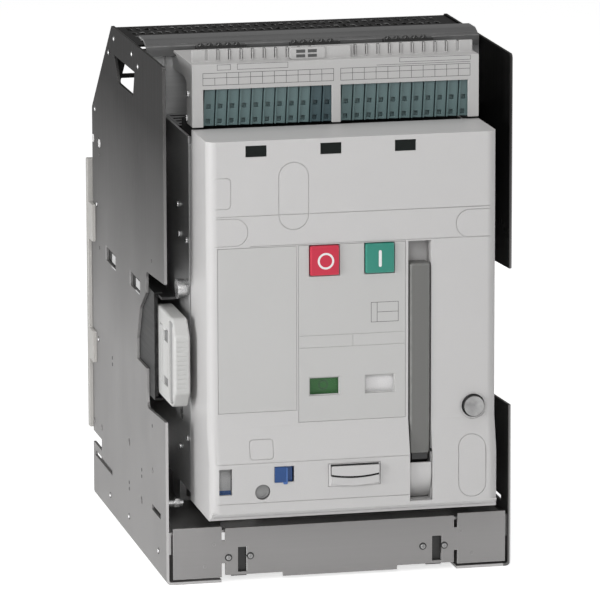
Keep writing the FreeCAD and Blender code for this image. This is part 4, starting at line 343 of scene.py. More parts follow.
# Name: colour, roughness, metallic, grain scale, stretch, spread of shade, bump in mm,
# edge wear, edge colour, dust
EVEN = (1, 1, 1)
ALONG_X = (0.12, 6, 6)
ALONG_Y = (6, 0.12, 6)
ALONG_Z = (6, 6, 0.12)
WHITE = (0.86, 0.86, 0.85)
STEEL = (0.62, 0.61, 0.60)
FINISHES = {
    "cover": ("cover", 0.48, 0, 1500, EVEN, 0.04, 0.02, 0.30, WHITE, 0.04),
    "panel": ("panel", 0.50, 0, 1700, EVEN, 0.04, 0.02, 0.35, WHITE, 0.03),
    "block": ("block", 0.50, 0, 1500, EVEN, 0.05, 0.02, 0.30, WHITE, 0.04),
    "grip": ("grip", 0.52, 0, 1200, EVEN, 0.05, 0.03, 0.30, WHITE, 0.05),
    "plate": ("plate", 0.42, 0.85, 60, ALONG_Z, 0.10, 0.01, 0.85, STEEL, 0.04),
    "cross_plate": ("cross", 0.42, 0.6, 60, ALONG_X, 0.05, 0.01, 0.85, STEEL, 0.05),
    "bar": ("bar", 0.38, 0.5, 60, ALONG_X, 0.20, 0.01, 0.6, STEEL, 0.0),
    "zinc": ("zinc", 0.40, 0.6, 60, ALONG_X, 0.18, 0.01, 0.6, STEEL, 0.05),
    "bright": ("bright", 0.25, 0.9, 300, EVEN, 0.10, 0.005, 0.4, WHITE, 0.0),
    "black_sheet": ("black_sheet", 0.60, 0, 900, EVEN, 0.12, 0.02, 0.9, (0.50, 0.50, 0.50), 0.0),
    "black_moulding": ("black_moulding", 0.30, 0, 1100, EVEN, 0.12, 0.02, 0.4,
                       (0.09, 0.09, 0.09), 0.0),
    "insulator": ("insulator", 0.55, 0, 700, EVEN, 0.10, 0.03, 0.3, WHITE, 0.06),
    "teal": ("teal", 0.38, 0, 800, EVEN, 0.10, 0.02, 0.35, (0.30, 0.42, 0.43), 0.0),
    "teal_dark": ("teal_dark", 0.38, 0, 800, EVEN, 0.10, 0.02, 0.3, (0.16, 0.25, 0.29), 0.0),
    "red": ("red", 0.35, 0, 900, EVEN, 0.05, 0.01, 0.4, (0.75, 0.12, 0.14), 0.0),
    "green": ("green", 0.35, 0, 900, EVEN, 0.05, 0.01, 0.4, (0.12, 0.42, 0.34), 0.0),
    "flag_green": ("flag_green", 0.55, 0, 600, EVEN, 0.08, 0.01, 0.2, WHITE, 0.0),
    "flag_white": ("flag_white", 0.50, 0, 600, EVEN, 0.04, 0.01, 0.2, WHITE, 0.0),
    "blue": ("blue", 0.38, 0, 900, EVEN, 0.06, 0.01, 0.5, (0.12, 0.24, 0.55), 0.0),
    "lever": ("lever", 0.45, 0, 1300, EVEN, 0.05, 0.02, 0.5, (0.30, 0.30, 0.29), 0.02),
    "knob": ("knob", 0.35, 0.2, 900, EVEN, 0.05, 0.01, 0.5, WHITE, 0.0),
    "copper": ("copper", 0.30, 0.9, 200, ALONG_Y, 0.12, 0.005, 0.5, WHITE, 0.02),
    "dark_steel": ("dark_steel", 0.45, 0.3, 60, ALONG_Y, 0.20, 0.01, 0.7, (0.40, 0.40, 0.40), 0.0),
    "rivet": ("rivet", 0.35, 0.7, 300, EVEN, 0.10, 0.005, 0.3, STEEL, 0.0),
    "gloss_black": ("gloss", 0.20, 0.85, 1100, EVEN, 0.12, 0.005, 0.1, (0.2, 0.2, 0.2), 0.0),
    "rail": ("rail", 0.50, 0, 60, ALONG_Y, 0.20, 0.01, 0.5, (0.30, 0.30, 0.30), 0.0),
    "slot_grey": ("slot_grey", 0.55, 0, 600, EVEN, 0.06, 0.01, 0.2, WHITE, 0.0),
    "pocket_grey": ("pocket_grey", 0.60, 0, 600, EVEN, 0.06, 0.01, 0.2, WHITE, 0.0),
    "blue_tab": ("blue_tab", 0.35, 0, 900, EVEN, 0.06, 0.01, 0.5, (0.20, 0.34, 0.62), 0.0),
    "flag_mark": ("flag_mark", 0.55, 0, 600, EVEN, 0.06, 0.01, 0.2, WHITE, 0.0),
    "flag_grey": ("flag_grey", 0.55, 0, 600, EVEN, 0.06, 0.01, 0.2, WHITE, 0.0),
    "ink": ("ink", 0.60, 0, 700, EVEN, 0.12, 0.005, 0.2, (0.16, 0.16, 0.16), 0.0),
}
# Finishes with painted shade that darkens the metal with height: the share that stays at the
# top, its lowest and highest height in metres
PAINTED_HEIGHT_SHADE = {"plate": (0.19, 0.19, 0.43)}

# Strengths shared by all finishes: the side with painted inner shade keeps this share of its
# colour, a worn edge takes this share of the edge colour
INNER_SHADE_SHARE = 0.3
WORN_SHARE = 0.6
WEAR_SCALE = 140.0
GRAIN_CONTRAST = 1.6
ROUGHNESS_SWING = 0.16
RELIEF_STRENGTH = 0.5
DUST_GAIN = 4
DUST_COLOUR = (0.55, 0.54, 0.52)

# Finishes without bright reflections at a grazing angle
DULL = ("black_sheet", "ink", "rail")

materials = {}


def finish(name):
    """The material of one finish, made at its first use."""
    if name in materials:
        return materials[name]
    (colour, roughness, metallic, scale, stretch, spread, bump, wear, edge_colour,
     dust) = FINISHES[name]
    colour = tuple(getattr(colours(), colour))
    material = bpy.data.materials.new(name)
    material.use_nodes = True
    tree = material.node_tree
    shader = tree.nodes["Principled BSDF"]
    shader.inputs["Metallic"].default_value = metallic
    grain = group_node(tree, "Grain", grain_group, Scale=scale, Stretch=stretch,
                       Contrast=GRAIN_CONTRAST)
    base = blend_colour(tree, grain.outputs["Shade"], scaled(colour, 1 - spread),
                        scaled(colour, 1 + spread))
    # Painted shade: darker with height, standing in for the dark surroundings that the plates
    # reflect
    if name in PAINTED_HEIGHT_SHADE:
        share, low, high = PAINTED_HEIGHT_SHADE[name]
        rise = group_node(tree, "Rising shade", rise_group, Low=low, High=high)
        dark = blend_colour(tree, 1.0, base, (share,) * 3, "MULTIPLY")
        base = blend_colour(tree, rise.outputs["Mask"], base, dark)
        shader.inputs["Specular Tint"].default_value = (0.25, 0.25, 0.25, 1)
    if name in DULL:
        shader.inputs["Specular IOR Level"].default_value = 0.15
    worn = group_node(tree, "Edge wear", wear_group, Amount=wear, Scale=WEAR_SCALE)
    base = blend_colour(tree, worn.outputs["Mask"], base, mixed(colour, edge_colour, WORN_SHARE))
    # Painted shade on the right plate's inner side
    if name in PAINTED_HEIGHT_SHADE:
        inner = group_node(tree, "Painted inner shade", inner_shade_group)
        dark = blend_colour(tree, 1.0, base, (INNER_SHADE_SHARE,) * 3, "MULTIPLY")
        base = blend_colour(tree, inner.outputs["Mask"], base, dark)
    if dust:
        film = group_node(tree, "Settled dust", dust_group, Amount=dust * DUST_GAIN)
        base = blend_colour(tree, film.outputs["Mask"], base, DUST_COLOUR)
    tree.links.new(base, shader.inputs["Base Color"])
    swing = calculate(tree, "MULTIPLY", grain.outputs["Shade"], ROUGHNESS_SWING)
    rough = calculate(tree, "ADD", swing, roughness - ROUGHNESS_SWING / 2)
    tree.links.new(rough, shader.inputs["Roughness"])
    relief = tree.nodes.new("ShaderNodeBump")
    relief.inputs["Strength"].default_value = RELIEF_STRENGTH
    relief.inputs["Distance"].default_value = bump * MM
    tree.links.new(grain.outputs["Height"], relief.inputs["Height"])
    tree.links.new(relief.outputs["Normal"], shader.inputs["Normal"])
    materials[name] = material
    return material


def lens(name, colour, opacity):
    """A clear or smoked moulding; scratches make it a little less clear in places."""
    material = bpy.data.materials.new(name)
    material.use_nodes = True
    tree = material.node_tree
    shader = tree.nodes["Principled BSDF"]
    shader.inputs["Specular IOR Level"].default_value = 0.08
    grain = group_node(tree, "Grain", grain_group, Scale=500.0, Contrast=1.0)
    base = blend_colour(tree, grain.outputs["Shade"], scaled(colour, 0.9), colour)
    tree.links.new(base, shader.inputs["Base Color"])
    swing = calculate(tree, "MULTIPLY", grain.outputs["Shade"], 0.05)
    rough = calculate(tree, "ADD", swing, 0.05)
    tree.links.new(rough, shader.inputs["Roughness"])
    haze = calculate(tree, "MULTIPLY", grain.outputs["Shade"], 0.02)
    tree.links.new(calculate(tree, "ADD", haze, opacity, True), shader.inputs["Alpha"])
    return material


# Modelling helpers

def only(*items):
    """Selects these objects and nothing else; the first one is active."""
    for item in bpy.context.selected_objects:
        item.select_set(False)
    for item in items:
        item.select_set(True)
    bpy.context.view_layer.objects.active = items[0]


def apply_modifier(item, kind, **settings):
    modifier = item.modifiers.new(kind, kind)
    for key, value in settings.items():
        setattr(modifier, key, value)
    only(item)
    bpy.ops.object.modifier_apply(modifier=modifier.name)


def round_edges(item, width, segments=2, angle=SHARP_ANGLE):
    """Rounds every sharp edge and marks the new faces for the edge wear."""
    mesh = item.data
    while len(mesh.materials) < 2:
        mesh.materials.append(None)
    apply_modifier(item, "BEVEL", width=width, segments=segments, limit_method="ANGLE",
                   angle_limit=angle, material=1, use_clamp_overlap=True)
    mark = mesh.color_attributes.new(EDGE_MARK, "FLOAT_COLOR", "CORNER")
    for face in mesh.polygons:
        value = 1.0 if face.material_index == 1 else 0.0
        for corner in face.loop_indices:
            mark.data[corner].color = (value, value, value, 1)
        face.material_index = 0
    mesh.materials.clear()


def smooth(item):
    only(item)
    bpy.ops.object.shade_smooth_by_angle(angle=SMOOTH_ANGLE)
    apply_modifier(item, "WEIGHTED_NORMAL", keep_sharp=True)


def settle(item, look, body, *stands_for, slot=None):
    """Gives a piece its finish, the body it rides on and the CAD nodes that it stands for."""
    item.data.materials.clear()
    item.data.materials.append(finish(look) if isinstance(look, str) else look)
    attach(item, body)
    if stands_for:
        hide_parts(*stands_for)
    return item


def stand_in(item, look, node):
    """Finishes a piece that rides with a CAD node and stands for it."""
    smooth(item)
    return settle(item, look, nodes[node]["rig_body"], node)


def on_node(item, name, look, node, slot=None, edge=None):
    """Finishes a small piece that rides with a CAD node and adds to it."""
    item.name = item.data.name = name
    if edge:
        round_edges(item, edge)
    smooth(item)
    return settle(item, look, nodes[node]["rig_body"], slot=slot or slot_of[node])


def merged_copy(node, name):
    """A copy of a CAD node with its loose triangles merged to whole faces."""
    mesh = nodes[node].data.copy()
    mesh.materials.clear()
    item = bpy.data.objects.new(name, mesh)
    bpy.context.scene.collection.objects.link(item)
    shape = bmesh.new()
    shape.from_mesh(mesh)
    bmesh.ops.remove_doubles(shape, verts=shape.verts, dist=1e-6)
    bmesh.ops.dissolve_limit(shape, angle_limit=math.radians(1), verts=shape.verts,
                             edges=shape.edges)
    shape.to_mesh(mesh)
    shape.free()
    old_normals = mesh.attributes.get("custom_normal")
    if old_normals:
        mesh.attributes.remove(old_normals)
    return item


def dressed(node, look, width, segments=2, cutters=(), extras=()):
    """A copy of a CAD node with rounded edges, which stands for the node."""
    item = merged_copy(node, node + "_finished")
    round_edges(item, width, segments)
    for cutter in cutters:
        take_away(item, cutter)
    for extra in extras:
        round_edges(extra, sizes().sheet_edge / 2)
    if extras:
        merge(item, *extras)
    return stand_in(item, look, node)


def plain_box(name, x, y, z):
    """A box between two places along each axis, in millimetres."""
    spans = (x, y, z)
    bpy.ops.object.select_all(action="DESELECT")
    bpy.ops.mesh.primitive_cube_add(
        size=1, location=[(a + b) / 2 * MM for a, b in spans],
        scale=[abs(b - a) * MM for a, b in spans])
    item = bpy.context.object
    item.name = name
    bpy.ops.object.transform_apply(location=True, rotation=True, scale=True)
    return item


def pick_edges(item, axis):
    """Selects the edges along one axis; used while in edit mode."""
    number = "xyz".index(axis)
    shape = bmesh.from_edit_mesh(item.data)
    bpy.ops.mesh.select_all(action="DESELECT")
    for edge in shape.edges:
        run = (edge.verts[0].co - edge.verts[1].co).normalized()
        if abs(run[number]) > 0.99:
            edge.select_set(True)
    shape.select_flush_mode()
    bmesh.update_edit_mesh(item.data)


def rounded_box(name, x, y, z, axis, radius, segments):
    """A box whose four edges along one axis are rounded."""
    item = plain_box(name, x, y, z)
    only(item)
    bpy.ops.object.mode_set(mode="EDIT")
    bpy.ops.mesh.select_mode(type="EDGE")
    pick_edges(item, axis)
    bpy.ops.mesh.bevel(offset=radius * MM, segments=segments, affect="EDGES")
    bpy.ops.object.mode_set(mode="OBJECT")
    return item


def along_axis(across, axis, value):
    """Three values for x, y and z: this one for the axis and the two others around it."""
    values = list(across)
    values.insert("xyz".index(axis), value)
    return values


def disc(name, axis, along, centre, radius, sides):
    """A short cylinder along one axis, in millimetres."""
    bpy.ops.object.select_all(action="DESELECT")
    middle = along_axis(centre, axis, (along[0] + along[1]) / 2)
    turn = {"x": (0, math.pi / 2, 0), "y": (math.pi / 2, 0, 0), "z": (0, 0, 0)}[axis]
    bpy.ops.mesh.primitive_cylinder_add(vertices=sides, radius=radius * MM,
                                        depth=abs(along[1] - along[0]) * MM,
                                        location=[c * MM for c in middle], rotation=turn)
    item = bpy.context.object
    item.name = name
    bpy.ops.object.transform_apply(location=True, rotation=True, scale=True)
    return item


def screw_heads(axis, along, places, radius):
    """Domed screw heads with a cross recess, their outer faces at the second level."""
    centre = places[0]
    head = disc("head", axis, along, centre, radius, 20)
    round_edges(head, radius * 0.28 * MM, 3)
    outer = along[1]
    deep = (along[0] - along[1]) * 0.5
    arm, thin = radius * 0.55, radius * 0.14
    for wide, tall in ((arm, thin), (thin, arm)):
        across = ((centre[0] - wide, centre[0] + wide), (centre[1] - tall, centre[1] + tall))
        depth = (outer - deep * 0.2, outer + deep)
        take_away(head, plain_box("recess", *along_axis(across, axis, depth)))
    return spread(head, axis, places)


def copies(item, shifts):
    """Copies of an object, each with its own mesh, moved by these millimetres."""
    made = []
    for shift in shifts:
        twin = item.copy()
        twin.data = item.data.copy()
        bpy.context.scene.collection.objects.link(twin)
        twin.data.transform(Matrix.Translation([s * MM for s in shift]))
        made.append(twin)
    return made


def spread(item, axis, places):
    """The object, made at the first place, joined with its copies at the other places."""
    first = places[0]
    twins = copies(item, [along_axis((u - first[0], v - first[1]), axis, 0) for u, v in places])
    bpy.data.objects.remove(item)
    return merge(*twins)


def repeat(item, count, step):
    """Repeats a shape at equal steps, in millimetres."""
    apply_modifier(item, "ARRAY", count=count, use_relative_offset=False,
                   use_constant_offset=True, constant_offset_displace=[s * MM for s in step])
    return item


def take_away(item, tool):
    apply_modifier(item, "BOOLEAN", operation="DIFFERENCE", solver="EXACT", object=tool)
    bpy.data.objects.remove(tool)
    return item


def hoop(name, axis, along, centre, radius, bore, sides=48):
    """A short tube along one axis, in millimetres."""
    outer = disc(name, axis, along, centre, radius, sides)
    through = (min(along) - 1, max(along) + 1)
    return take_away(outer, disc("bore", axis, through, centre, bore, sides))


def merge(item, *others):
    """Joins objects into the first one."""
    if others:
        only(item, *others)
        bpy.ops.object.join()
    return item


def coil(name, centre, bottom, radius, wire, turns, rise, axis="z", sides=10, steps=20):
    """A closed helical wire around an upright or a lengthwise line."""
    bpy.ops.object.select_all(action="DESELECT")
    bpy.ops.mesh.primitive_circle_add(vertices=sides, radius=wire * MM, fill_type="NOTHING",
                                      location=(radius * MM, 0, 0), rotation=(math.pi / 2, 0, 0))
    item = bpy.context.object
    item.name = name
    bpy.ops.object.transform_apply(location=True, rotation=True, scale=True)
    apply_modifier(item, "SCREW", angle=2 * math.pi, screw_offset=rise * MM, iterations=turns,
                   steps=steps, render_steps=steps, axis="Z", use_merge_vertices=False)
    only(item)
    bpy.ops.object.mode_set(mode="EDIT")
    bpy.ops.mesh.select_all(action="SELECT")
    bpy.ops.mesh.fill_holes(sides=0)
    bpy.ops.mesh.select_all(action="SELECT")
    bpy.ops.mesh.normals_make_consistent(inside=False)
    bpy.ops.object.mode_set(mode="OBJECT")
    if axis == "y":
        item.data.transform(Matrix.Rotation(-math.pi / 2, 4, "X"))
    start = along_axis(centre, axis, bottom)
    item.data.transform(Matrix.Translation([s * MM for s in start]))
    return item


def frame_line(x, z, face, wide):
    """The four ruled lines around a cell, as one closed flat frame on a face."""
    half = wide / 2
    outer = plain_box("frame_line", (x[0] - half, x[1] + half), (face - INK_PROUD, face + 0.2),
                      (z[0] - half, z[1] + half))
    inner = plain_box("frame_core", (x[0] + half, x[1] - half), (face - 1, face + 1),
                      (z[0] + half, z[1] - half))
    return take_away(outer, inner)


def ruled(x, z, face, uprights, levels, wide=0.4):
    """A ruled table: its frame, upright lines (place, from, to) and level lines."""
    parts = [frame_line(x, z, face, wide)]
    half, depth = wide / 2, (face - INK_PROUD, face + 0.2)
    for place, low, high in uprights:
        parts.append(plain_box("rule", (place - half, place + half), depth, (low, high)))
    for place, left, right in levels:
        parts.append(plain_box("rule", (left, right), depth, (place - half, place + half)))
    return merge(*parts)


# Camera and stage: angles in radians, the target in millimetres

VIEW_AZIMUTH = -0.2183
VIEW_ELEVATION = 0.2047
VIEW_ROLL = math.radians(-0.168)
VIEW_TARGET = (-35.312, -175.5, 251.670)
VIEW_LENS = 335.19
SENSOR = 36
WORLD_LIGHT = 0.30
FLOOR_GLOW = 0.66

LAMP_TARGET = (0, 0, 0.25)

# Name, place in metres, power in watts and side in metres of each soft lamp
LAMPS = (
    ("lamp_front", (-1.0, -3.2, 1.9), 41, 1.6),
    ("lamp_right", (2.6, -1.8, 1.2), 8, 1.6),
    ("lamp_top", (-0.3, -0.2, 2.6), 16, 1.8),
    ("lamp_left", (-3.0, -1.3, 0.7), 54, 1.2),
)


def lamp(name, place, power, size):
    data = bpy.data.lights.new(name, "AREA")
    data.energy, data.size = power, size
    item = bpy.data.objects.new(name, data)
    bpy.context.scene.collection.objects.link(item)
    item.location = place
    aim = Vector(LAMP_TARGET) - Vector(place)
    item.rotation_euler = aim.to_track_quat("-Z", "Y").to_euler()


def ray_mask(tree):
    """One for rays that come from the camera, a mirror face or through glass."""
    path = tree.nodes.new("ShaderNodeLightPath")
    seen = calculate(tree, "ADD", path.outputs["Is Camera Ray"], path.outputs["Is Glossy Ray"])
    return calculate(tree, "ADD", seen, path.outputs["Is Transmission Ray"], True)


class SWITCH_OT_stage(Operator):
    """Makes the camera, the soft lamps, the world and the pale floor"""

    bl_idname = "switch.stage"
    bl_label = "Camera and stage"

    def execute(self, context):
        scene = context.scene
        scene.view_settings.view_transform = "Standard"
        data = bpy.data.cameras.new("camera")
        data.lens, data.sensor_width, data.clip_end = VIEW_LENS, SENSOR, 100
        camera = bpy.data.objects.new("camera", data)
        scene.collection.objects.link(camera)
        back = Vector((math.sin(VIEW_AZIMUTH) * math.cos(VIEW_ELEVATION),
                       -math.cos(VIEW_AZIMUTH) * math.cos(VIEW_ELEVATION),
                       math.sin(VIEW_ELEVATION)))
        target = Vector(VIEW_TARGET) * MM
        camera.location = target + back * sizes().camera_distance
        turn = (-back).to_track_quat("-Z", "Y").to_matrix()
        camera.rotation_euler = (turn @ Matrix.Rotation(VIEW_ROLL, 3, "Z")).to_euler()
        scene.camera = camera

        world = bpy.data.worlds.new("studio")
        scene.world = world
        world.use_nodes = True
        tree = world.node_tree
        light = tree.nodes["Background"]
        light.inputs["Color"].default_value = (1, 1, 1, 1)
        light.inputs["Strength"].default_value = WORLD_LIGHT
        white = tree.nodes.new("ShaderNodeBackground")
        white.inputs["Strength"].default_value = 1
        mix = tree.nodes.new("ShaderNodeMixShader")
        path = tree.nodes.new("ShaderNodeLightPath")
        tree.links.new(path.outputs["Is Camera Ray"], mix.inputs[0])
        tree.links.new(light.outputs[0], mix.inputs[1])
        tree.links.new(white.outputs[0], mix.inputs[2])
        tree.links.new(mix.outputs[0], tree.nodes["World Output"].inputs["Surface"])

        for row in LAMPS:
            lamp(*row)

        bpy.ops.object.select_all(action="DESELECT")
        bpy.ops.mesh.primitive_plane_add(size=1, location=(0, 0, 0))
        floor = context.object
        floor.name = "floor"
        floor.scale = (sizes().floor_size,) * 3
        bpy.ops.object.transform_apply(scale=True)
        material = bpy.data.materials.new("floor")
        material.use_nodes = True
        tree = material.node_tree
        shader = tree.nodes["Principled BSDF"]
        shader.inputs["Roughness"].default_value = 0.9
        shader.inputs["Base Color"].default_value = (*colours().floor, 1)
        shader.inputs["Emission Color"].default_value = (1, 1, 1, 1)
        tree.links.new(calculate(tree, "MULTIPLY", ray_mask(tree), FLOOR_GLOW),
                       shader.inputs["Emission Strength"])
        floor.data.materials.append(material)
        return {"FINISHED"}


# Cradle

# Places on the left plate as (y, z): rivets, flush rings, holes with their radius, eyelets;
# the vents as two places along y and two levels
LEFT_RIVETS = ((51.9, 453), (79.1, 436.4), (-33.8, 452.6), (-62.9, 445.9), (149.7, 372.4),
               (145.6, 283.6), (143.7, 155.8), (91.2, 18.9), (-1.3, 21), (-139.6, 23))
LEFT_RINGS = ((-117.6, 280.9), (129.3, 332.7), (134.2, 244.4), (-115.1, 131.2), (74.8, 146.5),
              (74.8, 152.5), (-63.4, 73), (-63.4, 79), (-2.8, 47.2), (-2.8, 53.2))
LEFT_HOLES = ((168, 73, 3.2), (131.7, 73.9, 3.2), (-4.7, 91.2, 3.4), (-62.3, 50.8, 3.6),
              (-115.1, 90.6, 2.6))
LEFT_EYELETS = ((160.4, 343.2), (128.7, 343.6))
LEFT_VENTS = ((53.5, 102.3, 238, 253), (-62, -16, 239, 253))


def plate_discs(name, places, reach, radius, rounding=0.0):
    """The same low disc at several places of the left plate."""
    one = disc(name, "x", (PLATE_FACE + 0.6, PLATE_FACE - reach), places[0], radius, 16)
    if rounding:
        round_edges(one, rounding * MM, 3)
    return spread(one, "x", places)


class SWITCH_OT_plates(Operator):
    """Dresses the side plates with their rivets, holes and vents, and the floor plate"""

    bl_idname = "switch.plates"
    bl_label = "Cradle plates"

    def execute(self, context):
        edge = sizes().sheet_edge
        outer, inner = PLATE_FACE - 1, PLATE_INSIDE + 1
        holes = [disc("hole", "x", (outer, inner), (y, z), radius, 20)
                 for y, z, radius in LEFT_HOLES]
        dressed("left_side_plate", "plate", edge, cutters=[merge(*holes)])
        dressed("right_side_plate", "plate", edge)
        dressed("floor_plate", "plate", edge)
        on_node(plate_discs("rivet", LEFT_RIVETS, 0.9, 1.8, 0.7), "left_plate_rivets", "bright",
                "left_side_plate", "bright_steel")
        # The dark rings round the rivets are painted shade of a shallow countersink at each head;
        # the flush rings are the same dark discs at the other places
        on_node(merge(plate_discs("ring", LEFT_RIVETS, 0.2, 3.0),
                      plate_discs("ring", LEFT_RINGS, 0.2, 1.7)),
                "left_plate_rings", "dark_steel", "left_side_plate")

        rims = [hoop("rim", "x", (PLATE_FACE - 0.8, PLATE_FACE + 0.6), place, 3.8, 1.9, 24)
                for place in LEFT_EYELETS]
        on_node(merge(*rims), "left_plate_eyelets", "flag_white", "left_side_plate",
                "flag_white", 0.2 * MM)

        tabs = []
        for near, far, low, high in LEFT_VENTS:
            across = (PLATE_FACE - 0.1, PLATE_INSIDE + 0.1)
            tabs.append(plain_box("tab", (PLATE_FACE + 1.2, PLATE_INSIDE - 0.1),
                                  (near + 2, near + 24), (high - 11, high - 3)))
            tabs.append(plain_box("tab", across, (far - 1, far), (low, high)))
            tabs.append(plain_box("tab", across, (near + 1, near + 20), (low + 0.1, low + 1.2)))
        on_node(merge(*tabs), "left_plate_vent_tabs", "zinc", "left_side_plate",
                "galvanised")
        return {"FINISHED"}


# Screws of the switch's side frame and of the block's cheek as (y, z)
FRAME_SCREWS = ((-101.8, 328), (-108, 302.6), (-141, 303), (-107, 109.6), (-140.5, 124.3))
CHEEK_SCREWS = ((-145.2, 412.5), (-150.4, 434.6))
SIDE_FRAME_FACE = -128.2


class SWITCH_OT_inner_sheets(Operator):
    """Models the sheets, screws and bolts seen between the plate and the switch"""

    bl_idname = "switch.inner_sheets"
    bl_label = "Inner sheets and screws"

    def execute(self, context):
        depth, height = (-66, -64.6), (403, 456)
        sheets = [plain_box("sheet", x, depth, height)
                  for x in ((-153.9, -133.2), (-131.8, -112), (133.2, 153.9))]
        sheets.append(plain_box("fold", (-133.4, -133), (-72, -64.6), height))
        on_node(merge(*sheets), "carrier_side_sheets", "zinc", "terminal_carrier")
        dark = [plain_box("sheet", x, (-64, -62.6), (270.4, 402))
                for x in ((-153.9, -133), (133, 153.9))]
        on_node(merge(*dark), "cradle_side_sheets", "dark_steel", "left_side_plate")

        folds = [plain_box("fold", (-125, 125), (-145, -100), (389, 390)),
                 plain_box("upstand", (-125, 125), (-101, -100), (389.5, 405.5))]
        on_node(merge(*folds), "deck_upper_fold", "dark_steel", "front_deck")

        heads = screw_heads("x", (SIDE_FRAME_FACE, SIDE_FRAME_FACE - 2.7), FRAME_SCREWS, 2.9)
        on_node(heads, "side_frame_screws", "bright", "left_side_frame", "bright_steel")
        heads = screw_heads("x", (SIDE_FRAME_FACE, SIDE_FRAME_FACE - 2.4), CHEEK_SCREWS, 2.9)
        on_node(heads, "block_cheek_screws", "bright", "terminal_block_frame", "bright_steel")

        bolt = disc("bolt", "x", (-153.9, -134), (-139, 66), 2.6, 20)
        nut = disc("nut", "x", (-142, -137.5), (-139, 66), 4.6, 6)
        pin = disc("pin", "x", (-153.9, -131), (-118, 60), 3.2, 20)
        on_node(merge(bolt, nut, pin), "lower_stop_bolts", "bright", "left_side_plate",
                "bright_steel", 0.4 * MM)
        return {"FINISHED"}


# Screws and rivets of the cross plate as (x, z)
CROSS_SCREWS = ((-101.2, 23.0), (-81.5, 23.6), (75.4, 23.2), (95.0, 23.0))
CROSS_RIVETS = ((-114.2, 35.5), (-122.7, 15.8), (110.7, 34.8), (120.7, 14.2))


class SWITCH_OT_cross_plate(Operator):
    """Dresses the front cross plate with its screws and slots"""

    bl_idname = "switch.cross_plate"
    bl_label = "Front cross plate"

    def execute(self, context):
        dressed("front_cross_plate", "cross_plate", sizes().sheet_edge)
        root = CROSS_FACE + 0.5
        heads = screw_heads("y", (root, CROSS_FACE - 1.6), CROSS_SCREWS, 2.2)
        on_node(heads, "cross_plate_screws", "rivet", "front_cross_plate", "bright_steel")
        washer = disc("washer", "y", (root, CROSS_FACE - 0.25), CROSS_SCREWS[0], 3.3, 20)
        on_node(spread(washer, "y", CROSS_SCREWS), "cross_plate_washers", "dark_steel",
                "front_cross_plate")
        head = disc("rivet", "y", (root, CROSS_FACE - 0.35), CROSS_RIVETS[0], 1.5, 16)
        round_edges(head, 0.3 * MM)
        on_node(spread(head, "y", CROSS_RIVETS), "cross_plate_rivets", "cross_plate",
                "front_cross_plate")
        slides = [plain_box("slide", x, (-173.5, -172.2), (5, 34)) for x in ((-98, -84), (79, 93))]
        on_node(merge(*slides), "cross_plate_slides", "dark_steel", "front_cross_plate")
        return {"FINISHED"}


class SWITCH_OT_top(Operator):
    """Dresses the top bar, the terminal carrier and the rear screen"""

    bl_idname = "switch.top"
    bl_label = "Top of the cradle"

    def execute(self, context):
        edge = sizes().sheet_edge
        groove = plain_box("groove", (-160, 160), (-72.5, -71.7), (462, 471))
        dressed("top_cross_bar", "bar", edge, cutters=[groove])
        dressed("terminal_carrier", "zinc", edge)
        dressed("rear_screen", "black_moulding", edge)
        return {"FINISHED"}


class SWITCH_OT_lid(Operator):
    """Models the perforated cover with its fine rows of slots"""

    bl_idname = "switch.lid"
    bl_label = "Perforated cover"

    def execute(self, context):
        size = sizes()
        half, low, top, near, far = 154.1, 447.5, 461.5, -39.7, 64.5
        steel = 1.5
        sheet = plain_box("perforated_cover", (-half, half), (near, far), (low, top))
        take_away(sheet, plain_box("hollow", (steel - half, half - steel), (near - 1, far + 1),
                                   (low - 1, top - steel)))
        wide, long = size.lid_slot_wide / MM, size.lid_slot_long / MM
        pitch, row_pitch = size.lid_slot_pitch / MM, size.lid_row_pitch / MM
        count = int((2 * half - 14) // pitch)
        left = -pitch * (count - 1) / 2 - 2.3
        back = far - 8.4
        slot = rounded_box("slot", (left - wide / 2, left + wide / 2), (back - long, back),
                           (top - 2 * steel, top + 1), "z", wide / 2 - 0.1, 3)
        repeat(slot, count, (pitch, 0, 0))
        repeat(slot, size.lid_rows, (0, -row_pitch, 0))
        take_away(sheet, slot)
        round_edges(sheet, 0.2 * MM, 1, math.radians(60))
        mark = sheet.data.color_attributes[EDGE_MARK]
        for face in sheet.data.polygons:
            x, y, z = (c / MM for c in face.center)
            cut = (abs(face.normal.z) < 0.5 and z > top - steel and abs(x) < half - 2
                   and near + 1 < y < far - 1)
            for corner in face.loop_indices:
                mark.data[corner].color = (cut, cut, cut, 1)
        stand_in(sheet, "black_sheet", "top_perforated_cover")
        return {"FINISHED"}


class SWITCH_OT_combs(Operator):
    """Models the three vent combs on the bar with their rounded bumps"""

    bl_idname = "switch.combs"
    bl_label = "Vent combs"

    def execute(self, context):
        parts = []
        for pole in POLES:
            base = plain_box("comb_base", (pole - 22.7, pole + 22.7), (-83, -76), (461.5, 465.2))
            bump = disc("bump", "y", (-82.6, -76.4), (pole - 18.4, 464.9), 2.7, 20)
            round_edges(bump, 1.9 * MM, 5)
            repeat(bump, 5, (8.2, 0, 0))
            parts += [base, bump]
            round_edges(base, 0.6 * MM)
        comb = merge(*parts)
        comb.name = "comb_mouldings"
        stand_in(comb, "gloss_black", "vent_combs")
        return {"FINISHED"}


class SWITCH_OT_rear(Operator):
    """Dresses the rear moulding, its terminals and the shutters"""

    bl_idname = "switch.rear"
    bl_label = "Rear moulding and terminals"

    def execute(self, context):
        dressed("rear_base_moulding", "insulator", sizes().moulded_edge)
        for node in ("upper_terminals", "lower_terminals"):
            dressed(node, "copper", sizes().sheet_edge)
        for node in ("upper_shutter", "lower_shutter"):
            dressed(node, "insulator", sizes().sheet_edge)
        dressed("shutter_guides", "zinc", sizes().sheet_edge)
        return {"FINISHED"}


# Each rail with its side of the switch and its front end
RAILS = (("left_rail", -1, -172), ("right_rail", 1, -123))


